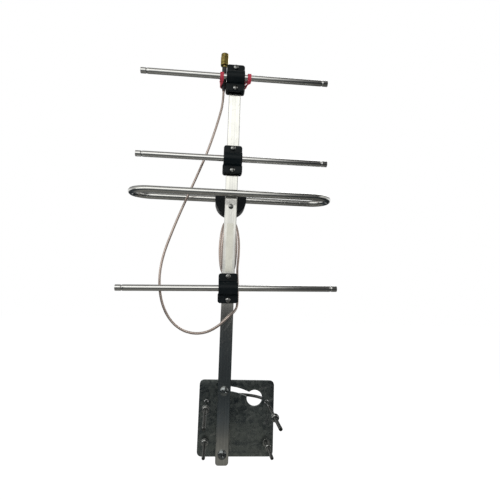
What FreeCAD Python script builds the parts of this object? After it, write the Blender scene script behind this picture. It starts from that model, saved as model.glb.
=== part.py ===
"""Four-element UHF yagi antenna on a tilting mast bracket.

Frame: +X runs along the elements, -Y is the front that faces the viewer, +Z runs up the boom.
The origin is where the mast bears on the bracket: on the plate's back face, midway between
the four U-bolt holes. All lengths are millimetres.
"""
import FreeCAD, Part
import math
import os
from collections import namedtuple

V = FreeCAD.Vector
Fastener = namedtuple("Fastener", "shank_r head_r head_h nut_af nut_h")

# ---------------------------------------------------------------- driving dimensions
# Clearances
running_clearance = 0.05      # a pin that turns in its hole
fastener_clearance = 0.1      # a screw in its hole
seat_clearance = 0.02         # a tube in its seat
slide_gap = 0.1               # flat faces that slide on each other
rest_gap = 0.3                # a moving piece at its stop

# Screws and nuts
m3 = Fastener(shank_r=1.5, head_r=2.5, head_h=2.0, nut_af=5.5, nut_h=2.4)
m25 = Fastener(shank_r=1.25, head_r=2.2, head_h=1.5, nut_af=5.0, nut_h=2.0)
m4 = Fastener(shank_r=2.0, head_r=4.1, head_h=2.8, nut_af=7.0, nut_h=3.2)
washer_r = 4.5
leg_washer_r = 3.6
washer_t = 0.8
screw_tip = 0.8               # length of a screw beyond its nut
recess_width = 0.7            # cross recess in each screw head

# Bracket plate
plate_width = 72.0
plate_t = 2.0
plate_above = 38.0            # top edge above the origin
plate_below = 32.0            # bottom edge below the origin
plate_corner_r = 5.0
u_bolt_pitch_x = 58.0
u_bolt_pitch_z = 36.0
u_bolt_wire_r = 1.5
u_bolt_hole_r = 1.8
u_bolt_leg = 88.5             # straight part of each leg
upper_crown_y = 0.5           # where the upper crown begins, behind the plate
lower_crown_y = 43.0          # where the lower crown begins
upper_left_nut_y = -31.6      # back face of each nut's washer
upper_right_nut_y = -56.5
lower_left_nut_y = -6.2
lower_right_nut_y = -18.5

# Tilt pivot and lock
pivot_x = -12.6
pivot_z = -26.0
lock_radius = 56.0            # from the pivot to the lock screw and the arc slot
slot_half_width = 2.3
slot_past_rest_deg = 3.0      # the slot runs on a little past the upright position
keyhole_deg = 32.0
keyhole_r = 7.5

# Boom
boom_side = 12.0
boom_wall = 1.0
boom_edge_r = 0.6
boom_below_pivot = 9.5
boom_length = 388.0
boom_end_r = 2.8              # rounded corners of the lower end

# Elements, as heights above the origin and overall lengths
rod_r = 3.0
rod_wall = 0.8
reflector_z = 125.5
reflector_length = 210.0
dipole_z = 219.3
dipole_length = 207.0
director_1_z = 253.5
director_1_length = 190.0
director_2_below_top = 12.0   # from the boom's top end
director_2_length = 191.0
crimp_from_end = 6.0
crimp_width = 1.2
crimp_depth = 0.35
end_plug_length = 4.0

# Element clamps
rod_stand_off = 6.0           # rod axis in front of the boom's face
clamp_width = 18.4
clamp_height = 28.4
clamp_corner_r = 2.5
clamp_screw_pitch = 22.4
cap_flange_t = 2.5
cap_saddle_r = 6.6
wing_depth = 5.0              # how far the base grips the boom's sides
foot_width = 19.8
foot_height = 10.5
foot_set_back = 0.8

# Folded dipole and its feed box
dipole_r = 3.4
dipole_rod_spacing = 31.6     # front rod axis to rear rod axis
dipole_stand_off = 4.4        # front rod axis in front of the boom's face
feed_gap = 8.0
saddle_width = 10.0
saddle_height = 5.6
box_r = 15.9
box_centre_below = 2.5        # centre of the round underside below the dipole
box_top_above = 5.8
box_wall = 2.0
box_front_wall = 2.5
cover_t = 2.0
rod_to_cover = 1.0
cover_tongue = 2.0
cover_tongue_inset = 4.0      # each end short of the box's inside
box_screw_below = 12.8        # visible fixing screw below the dipole
boss_r = 2.6
boss_x = 8.0
boss_above_bottom = 6.3
cover_screw_bite = 8.0        # screwed length in the boss
box_edge_r = 1.0
board_t = 1.6
board_width = 25.0
board_height = 11.5
board_back_from_rod = 2.4     # spacer between the board and the rod
terminal_x = 7.0
grommet_r = 2.2
grommet_collar_r = 2.8
grommet_collar_t = 1.0
grommet_inside = 2.0          # length beyond the wall, inside the box
cord_exit_z = 199.6           # where the cords leave their grommets
balun_exit_x = 4.0
balun_exit_y = 6.0
cable_exit_y = 12.0

# Coaxial cable, its boot and plug
coax_r = 1.25
plug_x = -24.4
plug_y = -6.6
boot_r = 2.5
boot_bottom_z = 332.0
boot_length = 26.5
boot_taper = 5.0
boot_neck_r = 1.7
ferrule_r = 1.9
ferrule_length = 9.0
collar_h = 1.5
neck_r = 2.7
neck_length = 8.9
flange_r = 3.0
flange_h = 1.0
barrel_r = 2.3
barrel_h = 1.5
insulator_r = 2.0
contact_r = 0.64
contact_bore_r = 0.48
nut_start = 1.8               # lower end of the coupling nut above the boot
nut_hex_af = 8.0
nut_hex_h = 9.2
nut_turned_deg = 23.0
nut_groove_h = 0.5
nut_groove_r = 3.6
nut_ring_r = 3.9
nut_ring_h = 3.3
nut_thread_r = 3.175
nut_thread_length = 3.2
nut_relief_r = 3.35

# Label and elastic band
label_width = 6.8
label_t = 0.2
label_bottom_z = 141.5
label_length = 48.0
label_corner_r = 0.8
band_width = 3.8
band_t = 1.2
band_hook_x = 14.0            # hooks either side of the boom's centre line
band_strand_z = 2.5           # each strand above and below the rod's axis
band_inset = 3.2              # how far each strand draws in on the side without the boot

# Coaxial routes, from exit to end. Their points are chosen by hand.
balun_points = [
    (-16.6, 6.0, 199.6), (-16.6, 6.0, 192.0), (-18.6, 5.4, 181.5), (-19.6, 5.0, 170.0),
    (-19.8, 5.2, 158.6), (-18.9, 6.0, 146.6), (-15.6, 6.6, 141.0), (-9.6, 6.2, 141.0),
    (-6.3, 5.2, 146.6), (-5.3, 3.4, 158.6), (-5.0, 3.0, 170.0), (-6.2, 4.2, 181.5),
    (-8.6, 6.0, 192.0), (-8.6, 6.0, 199.6),
]
cable_points = [
    (-12.6, 12.0, 199.6), (-12.6, 12.0, 191.0), (-9.0, 11.0, 178.0), (-6.4, 10.4, 164.0),
    (-5.8, 10.6, 151.6), (-7.1, 11.2, 144.6), (-10.3, 12.0, 140.2), (-16.0, 12.8, 140.2),
    (-19.2, 13.6, 144.8), (-20.8, 14.0, 152.4), (-21.9, 14.2, 163.4), (-21.7, 15.0, 176.0),
    (-20.4, 16.6, 187.6), (-18.0, 17.6, 196.4), (-12.2, 17.9, 199.2), (-6.4, 17.6, 196.4),
    (-3.8, 16.4, 188.0), (-2.1, 14.4, 177.0), (-1.8, 12.2, 166.0), (-2.4, 9.4, 155.4),
    (-3.3, 5.6, 146.0), (-3.1, 0.4, 137.0), (-2.6, -4.0, 127.0), (-2.6, -5.6, 117.6),
    (-2.8, -8.2, 109.0), (-5.0, -14.2, 104.4), (-9.4, -18.0, 100.4), (-15.0, -18.6, 94.8),
    (-22.4, -18.0, 88.4), (-31.6, -16.8, 83.4), (-43.4, -15.4, 81.8),
    (-55.8, -14.0, 85.2), (-66.4, -12.9, 93.8), (-74.0, -12.4, 106.8), (-78.0, -12.2, 122.6),
    (-78.8, -11.8, 139.6), (-76.0, -10.2, 158.2), (-70.3, -8.0, 177.4), (-63.6, -5.6, 198.0),
    (-56.0, -4.0, 218.4), (-47.8, -4.8, 239.4), (-39.6, -6.6, 260.6), (-33.2, -7.2, 281.2),
    (-28.0, -6.9, 301.6), (-24.4, -6.6, 318.6), (-24.4, -6.6, 332.0),
]

# ---------------------------------------------------------------- derived places
plate_front = -plate_t
boom_back = plate_front - slide_gap
boom_front = boom_back - boom_side
boom_bottom = pivot_z - boom_below_pivot
boom_top = boom_bottom + boom_length
boom_half = boom_side / 2
director_2_z = boom_top - director_2_below_top
rod_y = boom_front - rod_stand_off
clamp_seat_y = rod_y + rod_r + seat_clearance
clamp_face_y = clamp_seat_y - cap_flange_t
dipole_front_y = boom_front - dipole_stand_off
dipole_rear_y = dipole_front_y + dipole_rod_spacing
rod_bore_r = rod_r - rod_wall
dipole_bore_r = dipole_r - rod_wall
lock_z = pivot_z + lock_radius
leg_x = u_bolt_pitch_x / 2
leg_z = u_bolt_pitch_z / 2
cover_front = dipole_rear_y + dipole_r + rod_to_cover
box_back = cover_front + cover_t
box_inside_front = boom_back + box_front_wall
box_centre_z = dipole_z - box_centre_below
box_top = dipole_z + box_top_above
box_bottom = box_centre_z - box_r
box_screw_z = dipole_z - box_screw_below
boss_z = box_bottom + boss_above_bottom
board_back = dipole_rear_y - dipole_r - board_back_from_rod
boot_top = boot_bottom_z + boot_length
ELEMENTS = {
    "director_2": (director_2_z, director_2_length),
    "director_1": (director_1_z, director_1_length),
    "reflector": (reflector_z, reflector_length),
}
grommet_length = box_bottom + box_wall + grommet_inside - cord_exit_z
BALUN_EXITS = [(pivot_x - balun_exit_x, balun_exit_y), (pivot_x + balun_exit_x, balun_exit_y)]
CABLE_EXITS = [(pivot_x, cable_exit_y)]
ALONG_X = V(1, 0, 0)
ALONG_Y = V(0, 1, 0)
ALONG_Z = V(0, 0, 1)


# ---------------------------------------------------------------- shape helpers
def block(x0, x1, y0, y1, z0, z1):
    """Box between two corners."""
    return Part.makeBox(x1 - x0, y1 - y0, z1 - z0, V(x0, y0, z0))


def cylinder(radius, start, direction, length):
    """Round bar from a start point."""
    return Part.makeCylinder(radius, length, start, direction)


def pipe(outer_r, inner_r, start, direction, length):
    """Straight hollow cylinder."""
    return cylinder(outer_r, start, direction, length).cut(cylinder(inner_r, start, direction, length))


def round_edges(shape, direction, radius):
    """Fillet each straight edge that runs along a direction."""
    edges = []
    for edge in shape.Edges:
        if not isinstance(edge.Curve, Part.Line):
            continue
        if abs(edge.tangentAt(edge.FirstParameter).dot(direction)) > 0.999:
            edges.append(edge)
    return shape.makeFillet(radius, edges)


def hex_prism(across_flats, start, direction, height):
    """Hexagonal prism centred on an axis along Y or Z."""
    corner_r = across_flats / math.sqrt(3)
    side = ALONG_X
    up = direction.cross(side)
    points = []
    for step in range(7):
        angle = math.radians(60 * step)
        points.append(start + side * (corner_r * math.cos(angle)) + up * (corner_r * math.sin(angle)))
    return Part.Face(Part.makePolygon(points)).extrude(direction * height)


def round_slot(half_width, centre, radius, from_deg, to_deg, y0, y1):
    """Arc slot about a centre; angles are measured from +Z towards +X."""
    def at(arc_r, deg):
        angle = math.radians(deg)
        return centre + V(arc_r * math.sin(angle), 0, arc_r * math.cos(angle))

    middle = (from_deg + to_deg) / 2
    outer = radius + half_width
    inner = radius - half_width
    start_cap = math.degrees(half_width / radius)
    edges = [
        Part.Arc(at(outer, from_deg), at(outer, middle), at(outer, to_deg)).toShape(),
        Part.LineSegment(at(outer, to_deg), at(inner, to_deg)).toShape(),
        Part.Arc(at(inner, to_deg), at(inner, middle), at(inner, from_deg)).toShape(),
        Part.Arc(at(inner, from_deg), at(radius, from_deg - start_cap), at(outer, from_deg)).toShape(),
    ]
    face = Part.Face(Part.Wire(Part.__sortEdges__(edges)))
    face.translate(V(0, y0 - centre.y, 0))
    return face.extrude(V(0, y1 - y0, 0))


# ---------------------------------------------------------------- fasteners, all along +Y
def pan_screw(size, x, head_y, z, length):
    """Pan-head screw with a cross recess; head_y is the face under its head."""
    dome = size.head_h * 0.45
    rim_y = head_y - size.head_h + dome
    sphere_r = (size.head_r ** 2 + dome ** 2) / (2 * dome)
    head = cylinder(size.head_r, V(x, rim_y, z), ALONG_Y, size.head_h - dome)
    cap = Part.makeSphere(sphere_r, V(x, rim_y - dome + sphere_r, z))
    cap = cap.common(cylinder(size.head_r, V(x, rim_y - dome, z), ALONG_Y, dome))
    screw = head.fuse(cap).fuse(cylinder(size.shank_r, V(x, head_y, z), ALONG_Y, length))
    reach = size.head_r * 0.62
    half = recess_width / 2
    top = rim_y - dome - 1
    bottom = rim_y - dome + size.head_h * 0.55
    screw = screw.cut(block(x - reach, x + reach, top, bottom, z - half, z + half))
    screw = screw.cut(block(x - half, x + half, top, bottom, z - reach, z + reach))
    return screw.removeSplitter()


def hex_nut(size, x, y, z):
    """Hexagon nut from its face at y towards +Y."""
    nut = hex_prism(size.nut_af, V(x, y, z), ALONG_Y, size.nut_h)
    crown = Part.makeSphere(size.nut_af * 0.72, V(x, y + size.nut_h / 2, z))
    bore = cylinder(size.shank_r + running_clearance, V(x, y, z), ALONG_Y, size.nut_h)
    return nut.common(crown).cut(bore)


def washer(size, outer_r, x, y, z):
    """Plain washer from its face at y towards +Y."""
    return pipe(outer_r, size.shank_r + fastener_clearance, V(x, y, z), ALONG_Y, washer_t)


# ---------------------------------------------------------------- bracket
def bracket_plate():
    plate = block(-plate_width / 2, plate_width / 2, plate_front, 0, -plate_below, plate_above)
    plate = round_edges(plate, ALONG_Y, plate_corner_r)
    for x in (-leg_x, leg_x):
        for z in (-leg_z, leg_z):
            plate = plate.cut(cylinder(u_bolt_hole_r, V(x, plate_front, z), ALONG_Y, plate_t))
    pivot = V(pivot_x, plate_front, pivot_z)
    plate = plate.cut(cylinder(m4.shank_r + running_clearance, pivot, ALONG_Y, plate_t))
    slot = round_slot(slot_half_width, pivot, lock_radius, -slot_past_rest_deg, keyhole_deg, plate_front, 0)
    angle = math.radians(keyhole_deg)
    keyhole = pivot + V(lock_radius * math.sin(angle), 0, lock_radius * math.cos(angle))
    return plate.cut(slot).cut(cylinder(keyhole_r, keyhole, ALONG_Y, plate_t))


def u_bolt(crown_y, z):
    """Round-wire U-bolt whose legs reach forwards through the plate."""
    tip_chamfer = u_bolt_wire_r * 0.25
    ring = Part.Face(Part.Wire(Part.makeCircle(u_bolt_wire_r, V(leg_x, crown_y, z), ALONG_Y)))
    bolt = ring.revolve(V(0, crown_y, z), ALONG_Z, 180)
    for x in (-leg_x, leg_x):
        bolt = bolt.fuse(cylinder(u_bolt_wire_r, V(x, crown_y, z), -ALONG_Y, u_bolt_leg - tip_chamfer))
        tip = V(x, crown_y - u_bolt_leg + tip_chamfer, z)
        bolt = bolt.fuse(Part.makeCone(u_bolt_wire_r, u_bolt_wire_r - tip_chamfer, tip_chamfer, tip, -ALONG_Y))
    return bolt.removeSplitter()


def leg_nuts(z, left_y, right_y):
    """Hexagon nuts on both legs of one U-bolt, in front of their washers."""
    nuts = []
    for x, y in ((-leg_x, left_y), (leg_x, right_y)):
        nuts.append(hex_nut(m3, x, y - washer_t - m3.nut_h, z))
    return Part.makeCompound(nuts)


def leg_washers(z, left_y, right_y):
    washers = []
    for x, y in ((-leg_x, left_y), (leg_x, right_y)):
        washers.append(washer(m3, leg_washer_r, x, y - washer_t, z))
    return Part.makeCompound(washers)


# ---------------------------------------------------------------- boom
def boom_screw_heights():
    """Height and clearance radius of each screw that crosses the boom."""
    holes = [
        (pivot_z, m4.shank_r), (lock_z, m4.shank_r),
        (dipole_z, m3.shank_r), (box_screw_z, m3.shank_r),
    ]
    for z, _ in ELEMENTS.values():
        holes.append((z - clamp_screw_pitch / 2, m3.shank_r))
        holes.append((z + clamp_screw_pitch / 2, m3.shank_r))
    return holes


def boom_tube():
    x0 = pivot_x - boom_half
    x1 = pivot_x + boom_half
    outer = round_edges(block(x0, x1, boom_front, boom_back, boom_bottom, boom_top), ALONG_Z, boom_edge_r)
    inner = block(x0 + boom_wall, x1 - boom_wall, boom_front + boom_wall, boom_back - boom_wall,
                  boom_bottom, boom_top)
    tube = outer.cut(inner)
    outline = block(x0, x1, boom_front, boom_back, boom_bottom, boom_top + boom_end_r)
    lower = []
    for edge in outline.Edges:
        centre = edge.CenterOfMass
        if abs(centre.z - boom_bottom) < 0.01 and abs(abs(centre.x - pivot_x) - boom_half) < 0.01:
            lower.append(edge)
    tube = tube.common(outline.makeFillet(boom_end_r, lower))
    for z, shank_r in boom_screw_heights():
        hole = cylinder(shank_r + fastener_clearance, V(pivot_x, boom_front, z), ALONG_Y, boom_side)
        tube = tube.cut(hole)
    return tube


def boom_to_plate_screw(z):
    """Screw from the boom's front face to beyond the nut behind the plate."""
    length = boom_side + slide_gap + plate_t + slide_gap + washer_t + m4.nut_h + screw_tip
    return pan_screw(m4, pivot_x, boom_front, z, length)


def label_strip():
    x0 = pivot_x - label_width / 2
    strip = block(x0, x0 + label_width, boom_front - label_t, boom_front,
                  label_bottom_z, label_bottom_z + label_length)
    return round_edges(strip, ALONG_Y, label_corner_r)


# ---------------------------------------------------------------- elements and clamps
def element_rod(z, length):
    """Tube with a crimped groove near each end."""
    left = pivot_x - length / 2
    rod = pipe(rod_r, rod_bore_r, V(left, rod_y, z), ALONG_X, length)
    for x in (left + crimp_from_end, left + length - crimp_from_end - crimp_width):
        rod = rod.cut(pipe(rod_r + 1, rod_r - crimp_depth, V(x, rod_y, z), ALONG_X, crimp_width))
    return rod


def rod_end_plugs():
    """A plug in each open end of the three straight elements."""
    plugs = []
    for z, length in ELEMENTS.values():
        for side in (-1, 1):
            end = V(pivot_x + side * length / 2, rod_y, z)
            plugs.append(cylinder(rod_bore_r - seat_clearance, end, ALONG_X * -side, end_plug_length))
    return Part.makeCompound(plugs)


def clamp_screw_holes(z, y0, y1):
    holes = []
    for side in (-1, 1):
        centre = V(pivot_x, y0, z + side * clamp_screw_pitch / 2)
        holes.append(cylinder(m3.shank_r + fastener_clearance, centre, ALONG_Y, y1 - y0))
    return Part.makeCompound(holes)


def rod_channel(z):
    """Room for the rod in the cap, round in front and open behind, where the base closes it."""
    half = clamp_width / 2
    seat_r = rod_r + seat_clearance
    round_end = cylinder(seat_r, V(pivot_x - half, rod_y, z), ALONG_X, clamp_width)
    return round_end.fuse(block(pivot_x - half, pivot_x + half, rod_y, clamp_seat_y, z - seat_r, z + seat_r))


def clamp_base(z):
    """Base between the boom and the rod, with wings that grip the boom's sides."""
    half = clamp_width / 2
    low = z - clamp_height / 2
    high = z + clamp_height / 2
    back = boom_front + wing_depth
    base = block(pivot_x - half, pivot_x + half, clamp_seat_y, back, low, high)
    base = round_edges(base, ALONG_Y, clamp_corner_r)
    foot = block(pivot_x - foot_width / 2, pivot_x + foot_width / 2, clamp_seat_y + foot_set_back, back,
                 low, low + foot_height)
    base = base.fuse(round_edges(foot, ALONG_Y, clamp_corner_r))
    channel = boom_half + seat_clearance
    base = base.cut(block(pivot_x - channel, pivot_x + channel, boom_front, back, low, high))
    return base.cut(clamp_screw_holes(z, clamp_seat_y, boom_front)).removeSplitter()


def clamp_cap(z):
    """Cap with two screw flanges and a round saddle over the rod."""
    half = clamp_width / 2
    cap = block(pivot_x - half, pivot_x + half, clamp_face_y, clamp_seat_y,
                z - clamp_height / 2, z + clamp_height / 2)
    cap = round_edges(cap, ALONG_Y, clamp_corner_r)
    saddle = cylinder(cap_saddle_r, V(pivot_x - half, rod_y, z), ALONG_X, clamp_width)
    front = block(pivot_x - half, pivot_x + half, rod_y - cap_saddle_r, clamp_seat_y,
                  z - cap_saddle_r, z + cap_saddle_r)
    cap = cap.fuse(saddle.common(front))
    cap = cap.cut(rod_channel(z))
    return cap.cut(clamp_screw_holes(z, clamp_face_y, clamp_seat_y)).removeSplitter()


def clamp_screws(z):
    """Two screws from the cap, through the base and the boom, to their nuts."""
    length = boom_back - clamp_face_y + m3.nut_h + screw_tip
    offset = clamp_screw_pitch / 2
    return Part.makeCompound(
        [pan_screw(m3, pivot_x, clamp_face_y, z + side * offset, length) for side in (-1, 1)])


def clamp_nuts(z):
    offset = clamp_screw_pitch / 2
    return Part.makeCompound([hex_nut(m3, pivot_x, boom_back, z + side * offset) for side in (-1, 1)])


# ---------------------------------------------------------------- folded dipole
def dipole_bar(radius, gap):
    """Closed loop of round bar in the XY plane, with a gap in the middle of the rear rod."""
    bend_r = dipole_rod_spacing / 2
    straight = dipole_length / 2 - bend_r - dipole_r
    middle_y = (dipole_front_y + dipole_rear_y) / 2
    front = V(pivot_x - straight, dipole_front_y, dipole_z)
    bar = cylinder(radius, front, ALONG_X, 2 * straight)
    for side in (-1, 1):
        centre = V(pivot_x + side * straight, middle_y, dipole_z)
        section = Part.makeCircle(radius, V(centre.x, dipole_front_y, dipole_z), ALONG_X)
        bar = bar.fuse(Part.Face(Part.Wire(section)).revolve(centre, ALONG_Z * side, 180))
        rear = V(centre.x, dipole_rear_y, dipole_z)
        bar = bar.fuse(cylinder(radius, rear, ALONG_X * -side, straight - gap / 2))
    return bar


def folded_dipole():
    loop = dipole_bar(dipole_r, feed_gap).cut(dipole_bar(dipole_bore_r, feed_gap))
    hole_r = m3.shank_r + running_clearance
    loop = loop.cut(cylinder(hole_r, V(pivot_x, dipole_front_y, dipole_z), ALONG_Y, dipole_r))
    for side in (-1, 1):
        start = V(pivot_x + side * terminal_x, dipole_rear_y - dipole_r, dipole_z)
        loop = loop.cut(cylinder(hole_r, start, ALONG_Y, dipole_r))
    return loop


def dipole_saddle():
    """Packer with a round seat between the boom and the dipole's front rod."""
    low = dipole_z - saddle_height / 2
    packer = block(pivot_x - saddle_width / 2, pivot_x + saddle_width / 2, dipole_front_y, boom_front,
                   low, low + saddle_height)
    start = V(pivot_x - saddle_width / 2, dipole_front_y, dipole_z)
    packer = packer.cut(cylinder(dipole_r + seat_clearance, start, ALONG_X, saddle_width))
    shank = cylinder(m3.shank_r + fastener_clearance, V(pivot_x, dipole_front_y, dipole_z), ALONG_Y,
                     dipole_stand_off)
    return packer.cut(shank)


def dipole_screw():
    """Screw inside the feed box whose tip holds the dipole's front rod."""
    tip_y = dipole_front_y - dipole_bore_r + rod_wall
    length = box_inside_front - tip_y
    screw = pan_screw(m3, pivot_x, box_inside_front - length, dipole_z, length)
    screw.rotate(V(pivot_x, box_inside_front - length / 2, dipole_z), ALONG_Z, 180)
    return screw


# ---------------------------------------------------------------- feed box
def feed_box_profile(inset, y0, y1):
    """Flat-topped box with a half-round underside, drawn in by an inset."""
    radius = box_r - inset
    lower = cylinder(radius, V(pivot_x, y0, box_centre_z), ALONG_Y, y1 - y0)
    upper = block(pivot_x - radius, pivot_x + radius, y0, y1, box_centre_z, box_top - inset)
    tail = block(pivot_x - radius, pivot_x + radius, y0, y1, box_bottom, box_centre_z)
    return lower.common(tail).fuse(upper).removeSplitter()


def grommet(x, y):
    """Rubber sleeve through the round underside, with a collar outside."""
    collar = cylinder(grommet_collar_r, V(x, y, cord_exit_z), ALONG_Z, grommet_collar_t)
    return collar.fuse(cylinder(grommet_r, V(x, y, cord_exit_z), ALONG_Z, grommet_length)).removeSplitter()


def feed_box_body():
    body = feed_box_profile(0, boom_back, cover_front)
    body = round_edges(body, ALONG_Y, box_edge_r)
    body = body.cut(feed_box_profile(box_wall, box_inside_front, cover_front))
    for side in (-1, 1):
        boss = cylinder(boss_r, V(pivot_x + side * boss_x, box_inside_front, boss_z), ALONG_Y,
                        cover_front - box_inside_front)
        pilot = cylinder(m25.shank_r + seat_clearance, V(pivot_x + side * boss_x, box_inside_front, boss_z),
                         ALONG_Y, box_back - box_inside_front)
        body = body.fuse(boss).cut(pilot)
    start = V(pivot_x - box_r, dipole_rear_y, dipole_z)
    body = body.cut(cylinder(dipole_r + running_clearance, start, ALONG_X, 2 * box_r))
    for z in (dipole_z, box_screw_z):
        hole = cylinder(m3.shank_r + fastener_clearance, V(pivot_x, boom_back, z), ALONG_Y, box_front_wall)
        body = body.cut(hole)
    for x, y in BALUN_EXITS + CABLE_EXITS:
        body = body.cut(cylinder(grommet_r + seat_clearance, V(x, y, cord_exit_z), ALONG_Z, grommet_length))
    return body


def feed_box_cover():
    """Back cover with a tongue under the box's top wall."""
    cover = feed_box_profile(0, cover_front, box_back)
    half = box_r - box_wall - cover_tongue_inset
    tongue_top = box_top - box_wall - seat_clearance
    tongue = block(pivot_x - half, pivot_x + half, cover_front - cover_tongue, cover_front,
                   dipole_z + dipole_r + seat_clearance * 2, tongue_top)
    cover = cover.fuse(tongue)
    for side in (-1, 1):
        hole = cylinder(m25.shank_r + fastener_clearance, V(pivot_x + side * boss_x, box_inside_front, boss_z),
                        ALONG_Y, box_back - box_inside_front)
        cover = cover.cut(hole)
    return cover.removeSplitter()


def cover_screws():
    """Two screws from behind, through the cover into the bosses."""
    length = cover_t + cover_screw_bite
    screws = []
    for side in (-1, 1):
        x = pivot_x + side * boss_x
        screw = pan_screw(m25, x, box_back, boss_z, length)
        screw.rotate(V(x, box_back, boss_z), ALONG_Z, 180)
        screws.append(screw)
    return Part.makeCompound(screws)


def terminal_board():
    """Board in front of the dipole's rear ends that carries the cable's connections."""
    front = board_back - board_t
    top = dipole_z + dipole_r
    board = block(pivot_x - board_width / 2, pivot_x + board_width / 2, front, board_back,
                  top - board_height, top)
    for side in (-1, 1):
        hole = cylinder(m3.shank_r + fastener_clearance, V(pivot_x + side * terminal_x, front, dipole_z),
                        ALONG_Y, board_t)
        board = board.cut(hole)
    return board


def terminal_spacers():
    spacers = []
    for side in (-1, 1):
        start = V(pivot_x + side * terminal_x, board_back, dipole_z)
        spacer = pipe(m3.head_r, m3.shank_r + running_clearance, start, ALONG_Y, board_back_from_rod + rod_wall)
        bar_start = V(start.x - box_r, dipole_rear_y, dipole_z)
        spacers.append(spacer.cut(cylinder(dipole_r + seat_clearance, bar_start, ALONG_X, 2 * box_r)))
    return Part.makeCompound(spacers)


def terminal_screws():
    length = board_t + board_back_from_rod + rod_wall + screw_tip
    front = board_back - board_t
    return Part.makeCompound(
        [pan_screw(m3, pivot_x + side * terminal_x, front, dipole_z, length) for side in (-1, 1)])


def feed_box_screw():
    return pan_screw(m3, pivot_x, boom_front, box_screw_z,
                     boom_side + box_front_wall + m3.nut_h + screw_tip)


# ---------------------------------------------------------------- coaxial routes
def smooth_route(points, radius, name):
    """Round tube along straight runs joined by tangent arcs, with its radii and volume printed."""
    route = [V(*point) for point in points]
    edges = []
    radii = []
    start = route[0]
    length = 0.0
    for before, corner, after in zip(route, route[1:], route[2:]):
        into = corner - before
        out = after - corner
        turn = into.getAngle(out)
        trim = 0.45 * min(into.Length, out.Length)
        radii.append(trim / math.tan(turn / 2))
        arc_start = corner - V(into).normalize() * trim
        arc_end = corner + V(out).normalize() * trim
        inward = (arc_start + arc_end) * 0.5 - corner
        centre = corner + V(inward).normalize() * (radii[-1] / math.cos(turn / 2))
        middle = centre - V(inward).normalize() * radii[-1]
        edges.append(Part.LineSegment(start, arc_start).toShape())
        edges.append(Part.Arc(arc_start, middle, arc_end).toShape())
        start = arc_end
    edges.append(Part.LineSegment(start, route[-1]).toShape())
    for edge in edges:
        length += edge.Length
    path = Part.Wire(edges)
    section = Part.Wire(Part.makeCircle(radius, route[0], route[1] - route[0]))
    tube = path.makePipeShell([section], True, True)
    expected = math.pi * radius ** 2 * length
    print(name, "length", round(length, 1), "volume ratio", round(tube.Volume / expected, 5),
          "smallest radius", round(min(radii), 1), "valid", tube.isValid())
    print("  radii", [round(value, 1) for value in radii])
    return tube


# ---------------------------------------------------------------- plug
def on_plug_axis(radius, z0, z1):
    return cylinder(radius, V(plug_x, plug_y, z0), ALONG_Z, z1 - z0)


def cable_boot():
    """Heat-shrink sleeve from the cable to the plug's collar."""
    neck = Part.makeCone(boot_neck_r, boot_r, boot_taper, V(plug_x, plug_y, boot_bottom_z), ALONG_Z)
    boot = neck.fuse(on_plug_axis(boot_r, boot_bottom_z + boot_taper, boot_top))
    ferrule_room = on_plug_axis(ferrule_r + seat_clearance, boot_top - ferrule_length, boot_top)
    return boot.cut(ferrule_room).removeSplitter()


def plug_body():
    """Crimp ferrule, collar, neck that the nut turns on, flange and barrel."""
    neck_z = boot_top + collar_h
    flange_z = neck_z + neck_length - collar_h
    barrel_z = flange_z + flange_h
    body = on_plug_axis(ferrule_r, boot_top - ferrule_length, boot_top)
    body = body.fuse(on_plug_axis(boot_r, boot_top, neck_z))
    body = body.fuse(on_plug_axis(neck_r, neck_z, flange_z))
    body = body.fuse(on_plug_axis(flange_r, flange_z, barrel_z))
    body = body.fuse(on_plug_axis(barrel_r, barrel_z, barrel_z + barrel_h))
    bore = on_plug_axis(insulator_r + seat_clearance, neck_z, barrel_z + barrel_h)
    return body.cut(bore).removeSplitter()


def plug_insulator():
    z0 = boot_top + collar_h
    z1 = boot_top + neck_length + flange_h + barrel_h
    return on_plug_axis(insulator_r, z0, z1).cut(on_plug_axis(contact_r + seat_clearance, z0, z1))


def plug_contact():
    """Centre contact, a socket at its outer end."""
    z0 = boot_top + collar_h
    z1 = boot_top + neck_length + flange_h + barrel_h
    return on_plug_axis(contact_r, z0, z1).cut(on_plug_axis(contact_bore_r, z1 - 3, z1))


def coupling_nut():
    """Hexagon nut with a ring at its mouth, turning on the plug's neck."""
    z0 = boot_top + nut_start
    hex_top = z0 + nut_hex_h
    groove_top = hex_top + nut_groove_h
    mouth = groove_top + nut_ring_h
    nut = hex_prism(nut_hex_af, V(plug_x, plug_y, z0), ALONG_Z, nut_hex_h)
    nut.rotate(V(plug_x, plug_y, z0), ALONG_Z, nut_turned_deg)
    nut = nut.fuse(on_plug_axis(nut_groove_r, hex_top, groove_top))
    nut = nut.fuse(on_plug_axis(nut_ring_r, groove_top, mouth))
    shoulder = boot_top + neck_length - slide_gap
    nut = nut.cut(on_plug_axis(neck_r + running_clearance, z0, shoulder))
    nut = nut.cut(on_plug_axis(nut_relief_r, shoulder, mouth - nut_thread_length))
    return nut.cut(on_plug_axis(nut_thread_r, mouth - nut_thread_length, mouth)).removeSplitter()


# ---------------------------------------------------------------- elastic band
def band_section(centre, width_dir, normal):
    """Flat rectangular section of the band."""
    across = V(width_dir).normalize() * (band_width / 2)
    thick = V(normal).normalize() * (band_t / 2)
    corners = [centre - across - thick, centre + across - thick, centre + across + thick,
               centre - across + thick, centre - across - thick]
    return Part.makePolygon(corners)


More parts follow.
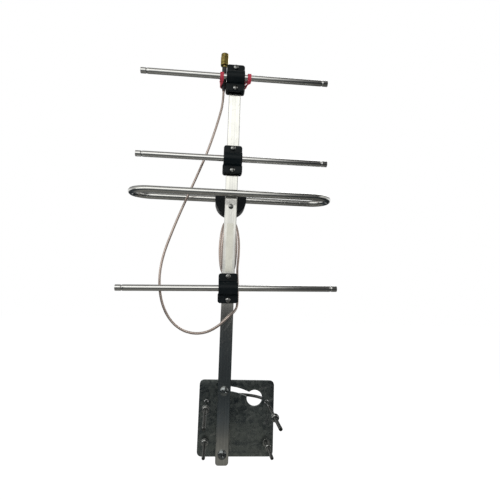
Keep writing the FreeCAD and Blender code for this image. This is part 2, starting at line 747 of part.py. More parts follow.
def band_strand(side, level):
    """From one rod hook back to the middle of the boom's back face."""
    def at(x, y, z):
        return V(pivot_x + side * x, y, director_2_z + level * z)

    lap_r = rod_r + seat_clearance + band_t / 2
    behind = boom_back + seat_clearance + band_t / 2
    offset = abs(plug_x - pivot_x)
    turn = (boot_r + band_t / 2 + rest_gap) / math.cos(math.radians(22.5))
    beside = offset + turn if side < 0 else band_hook_x - band_inset
    flat = V(side, 0, 0)
    upright = V(0, 0, -level)
    sections = [
        band_section(at(band_hook_x, rod_y, lap_r), flat, V(0, 0, level)),
        band_section(at(band_hook_x, rod_y + rod_r, lap_r), flat, V(0, 0, level)),
        band_section(at((band_hook_x + beside) / 2, boom_front, lap_r), V(side, 0, -level), V(side, 0, level)),
        band_section(at(beside, plug_y, band_strand_z), upright, V(side, 0, 0)),
    ]
    if side < 0:
        half_way = turn * math.sqrt(0.5)
        sections.append(band_section(at(offset + half_way, plug_y + half_way, band_strand_z), upright,
                                     V(side, 1, 0)))
        sections.append(band_section(at(offset, plug_y + turn, band_strand_z), upright, V(side * 0.2, 1, 0)))
    sections.append(band_section(at(boom_half, behind, band_strand_z), upright, V(side * 0.2, 1, 0)))
    sections.append(band_section(at(0, behind, band_strand_z), upright, V(0, 1, 0)))
    return Part.makeLoft(sections, True, True)


def elastic_band():
    """Flat elastic band hooked over the upper director on both sides of its clamp."""
    band = None
    for side in (-1, 1):
        centre = V(pivot_x + side * band_hook_x - band_width / 2, rod_y, director_2_z)
        inner_r = rod_r + seat_clearance
        hook = pipe(inner_r + band_t, inner_r, centre, ALONG_X, band_width)
        reach = inner_r + band_t
        front = block(centre.x, centre.x + band_width, rod_y - reach, rod_y,
                      director_2_z - reach, director_2_z + reach)
        hook = hook.common(front)
        for level in (-1, 1):
            hook = hook.fuse(band_strand(side, level))
        band = hook if band is None else band.fuse(hook)
    return band.removeSplitter()


# ---------------------------------------------------------------- the assembly
def save(name, shape):
    """Write one node and report anything unsound."""
    for solid in shape.Solids:
        if not solid.isValid() or solid.Volume <= 0:
            print("UNSOUND", name, solid.Volume)
    shape.exportStep(os.path.join("parts", name + ".step"))
    print(name, len(shape.Solids), round(shape.Volume, 1))


def main():
    os.makedirs("parts", exist_ok=True)
    save("bracket_plate", bracket_plate())
    save("upper_u_bolt", u_bolt(upper_crown_y, leg_z))
    save("upper_u_bolt_nuts", leg_nuts(leg_z, upper_left_nut_y, upper_right_nut_y))
    save("upper_u_bolt_washers", leg_washers(leg_z, upper_left_nut_y, upper_right_nut_y))
    save("lower_u_bolt", u_bolt(lower_crown_y, -leg_z))
    save("lower_u_bolt_nuts", leg_nuts(-leg_z, lower_left_nut_y, lower_right_nut_y))
    save("lower_u_bolt_washers", leg_washers(-leg_z, lower_left_nut_y, lower_left_nut_y))

    save("boom_tube", boom_tube())
    for name, z in (("pivot", pivot_z), ("lock", lock_z)):
        save(name + "_screw", boom_to_plate_screw(z))
        save(name + "_washer", washer(m4, washer_r, pivot_x, slide_gap, z))
        save(name + "_nut", hex_nut(m4, pivot_x, slide_gap + washer_t, z))
    save("label_strip", label_strip())

    for name, (z, length) in ELEMENTS.items():
        save(name + "_rod", element_rod(z, length))
        save(name + "_clamp_base", clamp_base(z))
        save(name + "_clamp_cap", clamp_cap(z))
        save(name + "_clamp_screws", clamp_screws(z))
        save(name + "_clamp_nuts", clamp_nuts(z))
    save("rod_end_plugs", rod_end_plugs())

    save("folded_dipole", folded_dipole())
    save("dipole_saddle", dipole_saddle())
    save("dipole_screw", dipole_screw())
    save("feed_box_body", feed_box_body())
    save("feed_box_cover", feed_box_cover())
    save("feed_box_cover_screws", cover_screws())
    save("feed_box_screw", feed_box_screw())
    save("feed_box_nut", hex_nut(m3, pivot_x, box_inside_front, box_screw_z))
    save("terminal_board", terminal_board())
    save("terminal_spacers", terminal_spacers())
    save("terminal_screws", terminal_screws())
    save("balun_grommet", Part.makeCompound([grommet(x, y) for x, y in BALUN_EXITS]))
    save("cable_grommet", Part.makeCompound([grommet(x, y) for x, y in CABLE_EXITS]))

    save("balun_loop", smooth_route(balun_points, coax_r, "balun_loop"))
    save("feed_cable", smooth_route(cable_points, coax_r, "feed_cable"))
    save("cable_boot", cable_boot())
    save("plug_body", plug_body())
    save("plug_insulator", plug_insulator())
    save("plug_contact", plug_contact())
    save("coupling_nut", coupling_nut())
    save("elastic_band", elastic_band())


main()
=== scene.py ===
"""Visual model of a four-element yagi antenna with its tilting mast bracket.

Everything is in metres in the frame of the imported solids: +X along the elements, -Y towards the
viewer, +Z up the boom. New pieces are numpy surfaces placed by the boxes of the solids they dress.
"""
import logging
import math
from dataclasses import dataclass
from enum import Enum
from typing import Callable, Optional, Sequence, Union

import bpy
import bmesh
import numpy as np
from bpy.types import Material, Mesh, Node, NodeTree, Object
from mathutils import Matrix, Vector


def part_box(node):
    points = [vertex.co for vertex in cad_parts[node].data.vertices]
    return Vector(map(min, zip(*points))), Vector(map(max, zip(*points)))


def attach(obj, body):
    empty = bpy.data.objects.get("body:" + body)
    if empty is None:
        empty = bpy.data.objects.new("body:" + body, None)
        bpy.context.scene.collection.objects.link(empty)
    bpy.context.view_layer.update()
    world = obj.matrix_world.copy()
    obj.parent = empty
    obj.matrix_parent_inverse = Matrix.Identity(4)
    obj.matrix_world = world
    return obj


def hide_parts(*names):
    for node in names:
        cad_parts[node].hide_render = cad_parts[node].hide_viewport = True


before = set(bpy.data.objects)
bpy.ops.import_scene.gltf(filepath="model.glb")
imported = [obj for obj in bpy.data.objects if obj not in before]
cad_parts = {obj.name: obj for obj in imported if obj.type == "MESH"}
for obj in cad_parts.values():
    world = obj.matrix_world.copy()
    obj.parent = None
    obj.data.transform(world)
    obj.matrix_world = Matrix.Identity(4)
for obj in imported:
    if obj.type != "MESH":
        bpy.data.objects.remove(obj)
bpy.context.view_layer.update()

LOG = logging.getLogger("yagi")
MM = 0.001
TAU = 2 * math.pi
SIXTH = math.pi / 3
STEP = 0.01 * MM        # width of a sudden step in a height over a plan
MERGE = 2e-7            # vertices nearer than this become one
SLIVER = 1e-8           # edges shorter than this are dissolved
NUT_FACE = 0.93         # radius of a nut's face as a share of the flat's
NUT_SLOPE = 1.75        # growth of the chamfer's radius per length
NUT_BLUNT = 0.012       # how much of the flat's radius a corner loses
NUT_BEVEL = 0.12        # bevel of the bore as a share of its radius
ELEMENT_ANGLES = {"director_2": 0.0, "director_1": 0.0, "reflector": math.radians(-1.5)}
Array = np.ndarray
Triple = tuple[float, float, float]
Colour = Triple
Shape = Callable[[Array, Array, Array], Array]
Socket = bpy.types.NodeSocket
Value = Union[Socket, float, Sequence[float]]


class Axis(Enum):
    """Direction that a turned piece or a row of screws lies along."""

    X = 0
    Y = 1
    Z = 2

    def vectors(self) -> tuple[Array, Array, Array]:
        """The axis and two directions square to it, right-handed."""
        return tuple(np.roll(np.eye(3), -self.value, 0))


class Body(Enum):
    """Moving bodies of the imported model."""

    BRACKET = "bracket"
    BOOM = "boom"
    UPPER_U_BOLT = "upper_u_bolt"
    LOWER_U_BOLT = "lower_u_bolt"
    COUPLING_NUT = "coupling_nut"


# --- surfaces
@dataclass
class Patch:
    """Part of a mesh: vertices, faces of one size and, for a woven pattern, a map of the face corners."""

    verts: Array
    faces: Array
    uvs: Optional[Array] = None


def grid(points: Array, wrap_u: bool = False, wrap_v: bool = False) -> Patch:
    """Joins a rectangular array of points into quads.

    Args:
        points: Array of shape (rows, columns, 3).
        wrap_u: Whether the last column joins the first.
        wrap_v: Whether the last row joins the first.

    Returns:
        The patch.
    """
    rows, cols = points.shape[:2]
    v, u = np.meshgrid(np.arange(rows - (not wrap_v)), np.arange(cols - (not wrap_u)), indexing="ij")
    v2, u2 = (v + 1) % rows, (u + 1) % cols
    faces = np.stack([v * cols + u, v * cols + u2, v2 * cols + u2, v2 * cols + u], -1)
    return Patch(points.reshape(-1, 3), faces.reshape(-1, 4))


def disc(ring: Array) -> Patch:
    """Closes a convex ring of points with triangles about its centre."""
    i = np.arange(len(ring))
    return Patch(np.vstack([ring, ring.mean(0)]),
                 np.stack([i, np.roll(i, -1), np.full_like(i, len(ring))], -1))


def revolve(profile: Array, origin: Sequence[float], axis: Axis, segments: int, closed: bool = False,
            shape: Optional[Shape] = None, turn: float = 0.0) -> Patch:
    """Turns a profile of (place along the axis, radius) round an axis.

    A point lies at origin + s * axis + r * (cos t * e1 + sin t * e2), where a shape function may
    change r by the angle t and the place s.

    Args:
        profile: Array of shape (n, 2), in metres.
        origin: Point on the axis where s is zero.
        axis: Direction of the axis.
        segments: Number of points round the axis.
        closed: Whether the profile is a closed loop.
        shape: Function of (angle, place, radius) that returns the radius.
        turn: Angle that the first column is turned by.

    Returns:
        The patch.
    """
    along, e1, e2 = axis.vectors()
    t = turn + around(segments)[None, :]
    s = profile[:, :1]
    r = np.broadcast_to(profile[:, 1:], (len(profile), segments))
    if shape is not None:
        r = shape(t, s, r)
    points = origin + s[..., None] * along + (r * np.cos(t))[..., None] * e1 + (r * np.sin(t))[..., None] * e2
    return grid(points, wrap_u=True, wrap_v=closed)


def around(steps: int) -> Array:
    """Angles of even steps round a circle."""
    return np.linspace(0, TAU, steps, endpoint=False)


def level(places: Array, value: float) -> Array:
    """Rows of (place, value) at one value."""
    return np.column_stack([places, np.full(len(places), value)])


def unit(vectors: Array) -> Array:
    """Vectors divided by their lengths."""
    return vectors / np.linalg.norm(vectors, axis=-1, keepdims=True)


def tangents(path: Array, closed: bool = False) -> Array:
    """Unit directions along a path of points, by central differences."""
    return unit(np.roll(path, -1, 0) - np.roll(path, 1, 0) if closed else np.gradient(path, axis=0))


def run_of(path: Array) -> Array:
    """Distance of each point of a path from its start, along the path."""
    return np.hstack([[0], np.cumsum(np.linalg.norm(np.diff(path, axis=0), axis=1))])


def level_frames(path: Array) -> tuple[Array, Array]:
    """Directions square to a path that stays near level: the sideways ones, and straight up."""
    up = np.tile([0.0, 0.0, 1.0], (len(path), 1))
    return unit(np.cross(tangents(path), up)), up


def carried_frames(path: Array) -> tuple[Array, Array]:
    """Directions square to a path that twist as little as possible from point to point.

    Each is the one before, less its part along the path.

    Args:
        path: Array of shape (n, 3).

    Returns:
        Two arrays of unit vectors.
    """
    along = tangents(path)
    normal = np.empty_like(path)
    normal[0] = unit(np.cross(along[0], [0.3, 1.0, 0.2]))
    for i in range(1, len(path)):
        normal[i] = unit(normal[i - 1] - along[i] * (normal[i - 1] @ along[i]))
    return normal, np.cross(along, normal)


def sweep(path: Array, radius: float, frames: tuple[Array, Array], segments: int,
          shape: Optional[Shape] = None) -> Patch:
    """Round tube along a path: each point is path + r * (cos t * side + sin t * up).

    Args:
        path: Array of shape (n, 3).
        radius: Radius of the tube.
        frames: The side and up directions at each point.
        segments: Number of points round the tube.
        shape: Function of (angle, distance along the path, radius) that returns the radius.

    Returns:
        The patch, with a map that runs from 0 to 1 round the tube and in metres along it.
    """
    side, up = frames
    t = around(segments)[None, :]
    run = run_of(path)
    r = np.full((len(path), segments), radius)
    if shape is not None:
        r = shape(t, run[:, None], r)
    points = (path[:, None] + (r * np.cos(t))[..., None] * side[:, None]
              + (r * np.sin(t))[..., None] * up[:, None])
    patch = grid(points, wrap_u=True)
    row, col = np.divmod(np.arange(len(patch.faces))[:, None], segments)
    patch.uvs = np.stack([(col + [0, 1, 1, 0]) / segments, run[row + [0, 0, 1, 1]]], -1)
    return patch


def capped(tube: Patch, segments: int) -> list[Patch]:
    """A swept tube and the discs that close its two ends."""
    return [tube, disc(tube.verts[:segments]), disc(tube.verts[-segments:])]


def rounded(corners: Sequence[Sequence[float]], steps: int = 4, closed: bool = False) -> Array:
    """Polyline whose corners are rounded: (1-k)^2 p + 2k(1-k) b + k^2 q about a corner b.

    Args:
        corners: Points (a, b, radius) in order; a radius of zero keeps the corner sharp.
        steps: Points along each rounding.
        closed: Whether the line returns to its start.

    Returns:
        Array of shape (n, 2).
    """
    table = np.array(corners, float)
    pts, last = table[:, :2], len(table) - 1
    k = np.linspace(0, 1, steps + 1)[:, None]
    out = []
    for i, (b, r) in enumerate(zip(pts, table[:, 2])):
        back, on = pts[i - 1] - b, pts[(i + 1) % len(pts)] - b
        half = 0.5 * math.acos(float(np.clip(unit(back) @ unit(on), -1, 1)))
        if r <= 0 or (not closed and i in (0, last)) or half > math.pi / 2 - 1e-3:
            out.append(b[None])
            continue
        cut = min(r / math.tan(half), 0.49 * np.linalg.norm(back), 0.49 * np.linalg.norm(on))
        p, q = b + unit(back) * cut, b + unit(on) * cut
        out.append((1 - k) ** 2 * p + 2 * k * (1 - k) * b + k * k * q)
    return np.vstack(out)


def between(start: float, stop: float, step: float) -> Array:
    """Evenly spaced values from start to stop, about one step apart."""
    return np.linspace(start, stop, max(2, int(round(abs(stop - start) / step)) + 1))


def dip(place: Array, width: float) -> Array:
    """Smooth hump of height one at zero: exp(-(place / width)^2)."""
    return np.exp(-((place / width) ** 2))


def edge_drop(distance: Array, radius: float) -> Array:
    """How far a rounded edge falls at a distance inside it: r - sqrt(r^2 - (r - d)^2)."""
    left = radius - np.clip(distance, 0, radius)
    return radius - np.sqrt(np.maximum(radius ** 2 - left ** 2, 0))


@dataclass
class Plan:
    """Grid over a rounded rectangle centred on zero, with lines gathered along its edges.

    Rows near the corners are narrowed to the outline; columns within the fixed width stay straight.
    """

    half_x: float
    half_z: float
    corner: float
    edge: float
    inner_x: Array
    inner_z: Array
    fixed: float = 0.0

    def __post_init__(self) -> None:
        """Works out the points' x and z."""
        near = self.edge * np.array([0.0, 0.08, 0.3, 0.62, 1.0])
        arc = self.corner * (1 - np.cos(np.linspace(0.12, 1, 7) * math.pi / 2))
        rim = np.unique(np.round(np.hstack([near, arc]), 9))
        zs = np.unique(np.round(np.hstack([rim - self.half_z, self.half_z - rim, self.inner_z]), 9))
        zs = zs[np.hstack([True, np.diff(zs) > 1e-6])]
        xs = np.unique(np.round(np.hstack([near - self.half_x, self.half_x - near, self.inner_x]), 9))
        over = np.clip(np.abs(zs) - (self.half_z - self.corner), 0, self.corner)
        width = self.half_x - self.corner + np.sqrt(np.maximum(self.corner ** 2 - over ** 2, 0))
        x, self.z = np.meshgrid(xs, zs)
        shrink = (width[:, None] - self.fixed) / (self.half_x - self.fixed)
        moved = np.sign(x) * (self.fixed + (np.abs(x) - self.fixed) * shrink)
        self.x = np.where(np.abs(x) <= self.fixed + 1e-9, x, moved)

    def border(self) -> Array:
        """Distance of each point inside the outline.

        Returns:
            corner - |positive part of q| - negative part of q, with q = |p| - (half - corner).
        """
        qx, qz = np.abs(self.x) - (self.half_x - self.corner), np.abs(self.z) - (self.half_z - self.corner)
        outside = np.hypot(np.maximum(qx, 0), np.maximum(qz, 0))
        return self.corner - outside - np.minimum(np.maximum(qx, qz), 0)

    def relief(self, centre: Array, front: Array, back: Array) -> list[Patch]:
        """Solid between a front and a back height over the plan.

        Args:
            centre: Where the plan's middle goes.
            front: Y of the front surface.
            back: Y of the back surface.

        Returns:
            Patches of the front, the back and the four sides.
        """
        x, z = centre[0] + self.x, centre[2] + self.z
        f, b = np.stack([x, front, z], -1), np.stack([x, back, z], -1)
        sides = [np.stack([f[k], b[k]]) for k in (0, -1)] + [np.stack([f[:, k], b[:, k]]) for k in (0, -1)]
        return [grid(points) for points in (f, b, *sides)]


def skewed(patches: Sequence[Patch], about: Array, angle: float) -> list[Patch]:
    """Patches turned by a about a line along Y: x' = x cos a + z sin a, z' = z cos a - x sin a."""
    turn = np.array(Matrix.Rotation(angle, 3, "Y")).T
    return [Patch((patch.verts - about) @ turn + about, patch.faces) for patch in patches]


# --- objects
@dataclass(frozen=True)
class Coat:
    """Built material with the slot that it fills."""

    material: Material
    slot: str


def corners_of(node: str) -> Array:
    """Lowest and highest corner of a CAD node."""
    return np.array(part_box(node), float)


def middle_of(node: str) -> Array:
    """Middle of a CAD node's box."""
    return corners_of(node).mean(0)


def points_of(mesh: Mesh) -> Array:
    """Places of a mesh's vertices.

    Args:
        mesh: The mesh.

    Returns:
        Array of shape (n, 3).
    """
    co = np.empty(len(mesh.vertices) * 3)
    mesh.vertices.foreach_get("co", co)
    return co.reshape(-1, 3)


def placed(name: str, data: bpy.types.ID) -> Object:
    """New object with its data, linked to the scene.

    Args:
        name: Name of the object.
        data: Its mesh, curve, camera or lamp.

    Returns:
        The object.
    """
    thing = bpy.data.objects.new(name, data)
    bpy.context.scene.collection.objects.link(thing)
    return thing


def mesh_of(curve: bpy.types.Curve) -> Mesh:
    """Evaluates a curve.

    Args:
        curve: The curve.

    Returns:
        Its mesh.
    """
    holder = placed(curve.name, curve)
    bpy.context.view_layer.update()
    mesh = bpy.data.meshes.new_from_object(holder.evaluated_get(bpy.context.evaluated_depsgraph_get()))
    bpy.data.objects.remove(holder)
    return mesh


def joined(name: str, patches: Sequence[Patch]) -> Mesh:
    """Joins patches into one mesh.

    Args:
        name: Name of the mesh.
        patches: Parts of the mesh.

    Returns:
        The mesh.
    """
    offsets = np.cumsum([0] + [len(patch.verts) for patch in patches])
    corners = np.concatenate([(patch.faces + o).ravel() for patch, o in zip(patches, offsets)])
    sizes = np.concatenate([np.full(len(patch.faces), patch.faces.shape[1]) for patch in patches])
    mesh = bpy.data.meshes.new(name)
    mesh.vertices.add(offsets[-1])
    verts = np.concatenate([patch.verts for patch in patches])
    mesh.vertices.foreach_set("co", verts.astype(np.float32).ravel())
    mesh.loops.add(len(corners))
    mesh.loops.foreach_set("vertex_index", corners.astype(np.int32))
    mesh.polygons.add(len(sizes))
    mesh.polygons.foreach_set("loop_start", (np.cumsum(sizes) - sizes).astype(np.int32))
    mesh.update(calc_edges=True)
    if any(patch.uvs is not None for patch in patches):
        uvs = [np.zeros((*patch.faces.shape, 2)) if patch.uvs is None else patch.uvs for patch in patches]
        layer = mesh.uv_layers.new(name="UVMap")
        layer.data.foreach_set("uv", np.concatenate([part.ravel() for part in uvs]).astype(np.float32))
    mesh.validate()
    return mesh


def install(name: str, mesh: Mesh, node: str, coat: Coat, body: Body, crease: float) -> Object:
    """Merges a mesh's doubles, turns its faces outwards and puts it in a CAD node's place.

    Args:
        name: Name of the piece.
        mesh: Its mesh.
        node: CAD node that it stands for.
        coat: Its material and slot.
        body: Body that it moves with.
        crease: Angle in degrees above which an edge stays sharp.

    Returns:
        The piece, at the origin.
    """
    work = bmesh.new()
    work.from_mesh(mesh)
    bmesh.ops.remove_doubles(work, verts=work.verts, dist=MERGE)
    bmesh.ops.dissolve_degenerate(work, edges=work.edges, dist=SLIVER)
    bmesh.ops.recalc_face_normals(work, faces=work.faces)
    work.to_mesh(mesh)
    work.free()
    mesh.polygons.foreach_set("use_smooth", np.ones(len(mesh.polygons), bool))
    mesh.set_sharp_from_angle(angle=math.radians(crease))
    mesh.materials.clear()
    mesh.materials.append(coat.material)
    piece = placed(name, mesh)
    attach(piece, body.value)
    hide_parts(node)
    LOG.info("%s: %d faces on %s", name, len(mesh.polygons), body.value)
    return piece


def dress(node: str, patches: Sequence[Patch], coat: Coat, crease: float = 40.0, name: str = "",
          body: Body = Body.BOOM) -> Object:
    """Makes a piece of patches and puts it in a CAD node's place; its name is the node's with an ending."""
    name = name or node + "_dressed"
    return install(name, joined(name, patches), node, coat, body, crease)


def paint(node: str, coat: Coat) -> None:
    """Gives a CAD node's own mesh a finish.

    Args:
        node: The node.
        coat: Its material.
    """
    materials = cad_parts[node].data.materials
    materials.clear()
    materials.append(coat.material)
    LOG.info("%s: its own faces with %s", node, coat.material.name)


# --- shader building
class Effect(Enum):
    """Shader groups that are built once and placed in each material."""

    GRAIN = "DrawnGrain"
    GRIME = "Grime"
    SCRATCHES = "Scratches"
    SPANGLE = "ZincSpangle"
    TEXTURE = "MouldedTexture"


class Tree:
    """Adds nodes to one shader tree and wires them."""

    def __init__(self, tree: NodeTree) -> None:
        """Keeps the tree."""
        self.tree = tree

    def fill(self, node: Node, inputs: dict[str | int, Value]) -> Node:
        """Links or sets the inputs of a node.

        Args:
            node: The node.
            inputs: Name or number of each input with its value or the socket that feeds it.

        Returns:
            The node.
        """
        for key, value in inputs.items():
            if isinstance(value, Socket):
                self.tree.links.new(value, node.inputs[key])
            else:
                node.inputs[key].default_value = value
        return node

    def add(self, kind: str, inputs: Optional[dict] = None, **settings: object) -> Node:
        """Adds a node.

        Args:
            kind: Class name of the node, without its first part.
            inputs: Inputs as in fill.
            **settings: Properties of the node.

        Returns:
            The node.
        """
        node = self.tree.nodes.new(kind if kind.startswith("NodeGroup") else "ShaderNode" + kind)
        for key, value in settings.items():
            setattr(node, key, value)
        return self.fill(node, inputs or {})

    def math(self, operation: str, a: Value, b: Value = 0.0, clamp: bool = False) -> Socket:
        """Result of a Math node."""
        return self.add("Math", {0: a, 1: b}, operation=operation, use_clamp=clamp).outputs[0]

    def times(self, a: Value, b: Value) -> Socket:
        """Product of two numbers."""
        return self.math("MULTIPLY", a, b)

    def plus(self, a: Value, b: Value, clamp: bool = False) -> Socket:
        """Sum of two numbers, held from zero to one where asked."""
        return self.math("ADD", a, b, clamp)

    def minus(self, a: Value, b: Value, clamp: bool = False) -> Socket:
        """Difference of two numbers, held from zero to one where asked."""
        return self.math("SUBTRACT", a, b, clamp)

    def noise(self, vector: Socket, scale: Value, detail: float = 3.0, roughness: float = 0.5,
              distortion: float = 0.0) -> Socket:
        """Value of a noise texture, about 0.5."""
        inputs = {"Vector": vector, "Scale": scale, "Detail": detail, "Roughness": roughness}
        return self.add("TexNoise", {**inputs, "Distortion": distortion}).outputs["Fac"]

    def stretch(self, vector: Socket, scale: Value) -> Socket:
        """Vector multiplied part by part."""
        return self.add("VectorMath", {0: vector, 1: scale}, operation="MULTIPLY").outputs[0]

    def parts(self, vector: Socket) -> Sequence[Socket]:
        """The three numbers of a vector."""
        return self.add("SeparateXYZ", {0: vector}).outputs

    def remap(self, value: Socket, low: float, high: float, to_low: float = 0.0, to_high: float = 1.0,
              smooth: bool = False) -> Socket:
        """Value carried from one range to another and held at its ends."""
        inputs = {"Value": value, "From Min": low, "From Max": high, "To Min": to_low, "To Max": to_high}
        return self.add("MapRange", inputs,
                        interpolation_type="SMOOTHSTEP" if smooth else "LINEAR").outputs[0]

    def mix(self, factor: Value, a: Value, b: Value, blend: str = "MIX") -> Socket:
        """Colour between a and b, each a socket or a plain colour."""
        ends = {key: end if isinstance(end, Socket) else (*end, 1.0) for key, end in ((6, a), (7, b))}
        return self.add("Mix", {0: factor, **ends}, data_type="RGBA", blend_type=blend).outputs[2]

    def bump(self, height: Socket, distance: float, strength: float = 1.0) -> Socket:
        """Normal of a Bump node."""
        inputs = {"Height": height, "Distance": distance, "Strength": strength}
        return self.add("Bump", inputs).outputs["Normal"]

    def weigh(self, *terms: tuple[Socket, float]) -> Socket:
        """Sum of masks, each times its weight, held from zero to one.

        Args:
            *terms: Masks with their weights.

        Returns:
            The sum.
        """
        total = self.times(*terms[0])
        for term in terms[1:-1]:
            total = self.plus(total, self.times(*term))
        return self.plus(total, self.times(*terms[-1]), clamp=True)

    def ramp(self, value: Socket, stops: Sequence[Sequence], tint: Colour) -> Socket:
        """Colour ramp of grey levels over a value from zero to one.

        Args:
            value: The value.
            stops: Place and level of each stop, with a tint of its own where it has one.
            tint: Tint of the other stops.

        Returns:
            The colour.
        """
        node = self.add("ValToRGB", {0: value})
        elements = node.color_ramp.elements
        while len(elements) < len(stops):
            elements.new(0.5)
        for element, (at, grey, *own) in zip(elements, stops):
            element.position = at
            element.color = (*(grey * part for part in (own[0] if own else tint)), 1)
        return node.outputs[0]


class EffectTree(Tree):
    """Shader group that turns a vector and named values into masks."""

    def __init__(self, effect: Effect, masks: Sequence[str], **values: Value) -> None:
        """Makes the group's sockets.

        Args:
            effect: The group's effect.
            masks: Names of its outputs.
            **values: Defaults of its inputs; an underscore in a name stands for a space.
        """
        super().__init__(bpy.data.node_groups.new(effect.value, "ShaderNodeTree"))
        self.socket("Vector", "INPUT", "NodeSocketVector")
        for key, value in values.items():
            kind = "NodeSocketFloat" if isinstance(value, float) else "NodeSocketVector"
            self.socket(key.replace("_", " "), "INPUT", kind).default_value = value
        for mask in masks:
            self.socket(mask, "OUTPUT", "NodeSocketFloat")
        self.given = self.add("NodeGroupInput").outputs
        self.vector = self.given["Vector"]

    def socket(self, name: str, side: str, kind: str) -> bpy.types.NodeTreeInterfaceSocket:
        """New socket of the group."""
        return self.tree.interface.new_socket(name=name, in_out=side, socket_type=kind)

    def close(self, **masks: Socket) -> None:
        """Wires the masks to the group's outputs."""
        self.add("NodeGroupOutput", masks)


def build_grain() -> None:
    """Fine drawn lines and broader bands for metal: noise stretched along the grain."""
    tree = EffectTree(Effect.GRAIN, ("Fine", "Band"), Grain=(1.0, 1.0, 1.0))
    drawn = tree.stretch(tree.vector, tree.given["Grain"])
    tree.close(Fine=tree.remap(tree.noise(drawn, 1.0, 5.0, 0.72), 0.28, 0.72),
               Band=tree.remap(tree.noise(drawn, 0.13, 2.0, 0.6), 0.3, 0.7))


def build_grime() -> None:
    """Soft smudges and small specks."""
    tree = EffectTree(Effect.GRIME, ("Smudge", "Speck"), Smudge_Size=40.0, Speck_Size=900.0)
    smudge = tree.noise(tree.vector, tree.given["Smudge Size"], 4.0, 0.6, 0.4)
    speck = tree.noise(tree.vector, tree.given["Speck Size"], 2.0)
    tree.close(Smudge=tree.remap(smudge, 0.38, 0.68, smooth=True), Speck=tree.remap(speck, 0.6, 0.72))


def build_scratches() -> None:
    """Thin scratches: places where a stretched noise crosses its middle value, in three directions."""
    tree = EffectTree(Effect.SCRATCHES, ("Scratch",), Scale=60.0, Width=0.012)
    masks = []
    for turn in (0.35, 1.9, 2.7):
        turned = tree.add("VectorRotate", {"Vector": tree.vector, "Angle": turn}, rotation_type="Y_AXIS")
        long = tree.stretch(turned.outputs[0], (1.0, 1.0, 0.06))
        off_middle = tree.minus(tree.noise(long, tree.given["Scale"], 1.0, 0.4), 0.5)
        line = tree.math("LESS_THAN", tree.math("ABSOLUTE", off_middle), tree.given["Width"])
        masks.append(tree.times(line, tree.remap(tree.noise(tree.vector, 55.0 + 20 * turn, 1.0), 0.55, 0.62)))
    tree.close(Scratch=tree.plus(tree.plus(masks[0], masks[1]), masks[2], clamp=True))


def build_spangle() -> None:
    """Zinc crystals: cells of different tone with a worn, blotchy layer over them."""
    tree = EffectTree(Effect.SPANGLE, ("Crystal", "Blotch"), Size=260.0)
    warp = tree.add("TexNoise", {"Vector": tree.vector, "Scale": 300.0, "Detail": 2.0}).outputs["Color"]
    shift = tree.add("VectorMath", {0: warp, "Scale": 0.004}, operation="SCALE").outputs[0]
    moved = tree.add("VectorMath", {0: tree.vector, 1: shift}, operation="ADD").outputs[0]
    cells = tree.add("TexVoronoi", {"Vector": moved, "Scale": tree.given["Size"]}).outputs["Color"]
    blotch = tree.noise(tree.vector, 75.0, 6.0, 0.68, 0.6)
    crystal = tree.add("SeparateColor", {0: cells}).outputs[0]
    tree.close(Crystal=crystal, Blotch=tree.remap(blotch, 0.36, 0.66))


def build_texture() -> None:
    """Spark-eroded texture of moulded plastic: smooth cells with a finer noise."""
    tree = EffectTree(Effect.TEXTURE, ("Height",), Size=2600.0)
    cells = tree.add("TexVoronoi", {"Vector": tree.vector, "Scale": tree.given["Size"], "Smoothness": 0.6},
                     feature="SMOOTH_F1").outputs["Distance"]
    tree.close(Height=tree.plus(cells, tree.times(tree.noise(tree.vector, 5200.0, 2.0), 0.5)))


class Surface(Tree):
    """Shader tree of a new material, with its Principled shader and the object coordinates."""

    def __init__(self, name: str) -> None:
        """Makes the material.

        Args:
            name: Name of the material.
        """
        self.material = bpy.data.materials.new(name)
        self.material.use_nodes = True
        super().__init__(self.material.node_tree)
        self.shader = self.tree.nodes["Principled BSDF"]
        self.place = self.add("TexCoord").outputs["Object"]

    def wire(self, inputs: dict[str, Value]) -> None:
        """Links or sets the shader's inputs."""
        self.fill(self.shader, inputs)

    def effect(self, effect: Effect, **inputs: Value) -> dict[str, Socket]:
        """Masks of an effect at each place; an underscore in an input's name stands for a space."""
        named = {key.replace("_", " "): value for key, value in inputs.items()}
        return self.add("Group", {"Vector": self.place, **named},
                        node_tree=bpy.data.node_groups[effect.value]).outputs


@dataclass(frozen=True)
class Finish:
    """Base of every finish: the name of its material and the slot that it fills."""

    name: str
    slot: str

    def coat(self) -> Coat:
        """Builds the material.

        Returns:
            The material with its slot.
        """
        surface = Surface(self.name)
        self.lay(surface)
        return Coat(surface.material, self.slot)

    def lay(self, tree: Surface) -> None:
        """Wires the shader; each kind of finish has its own way."""
        raise NotImplementedError


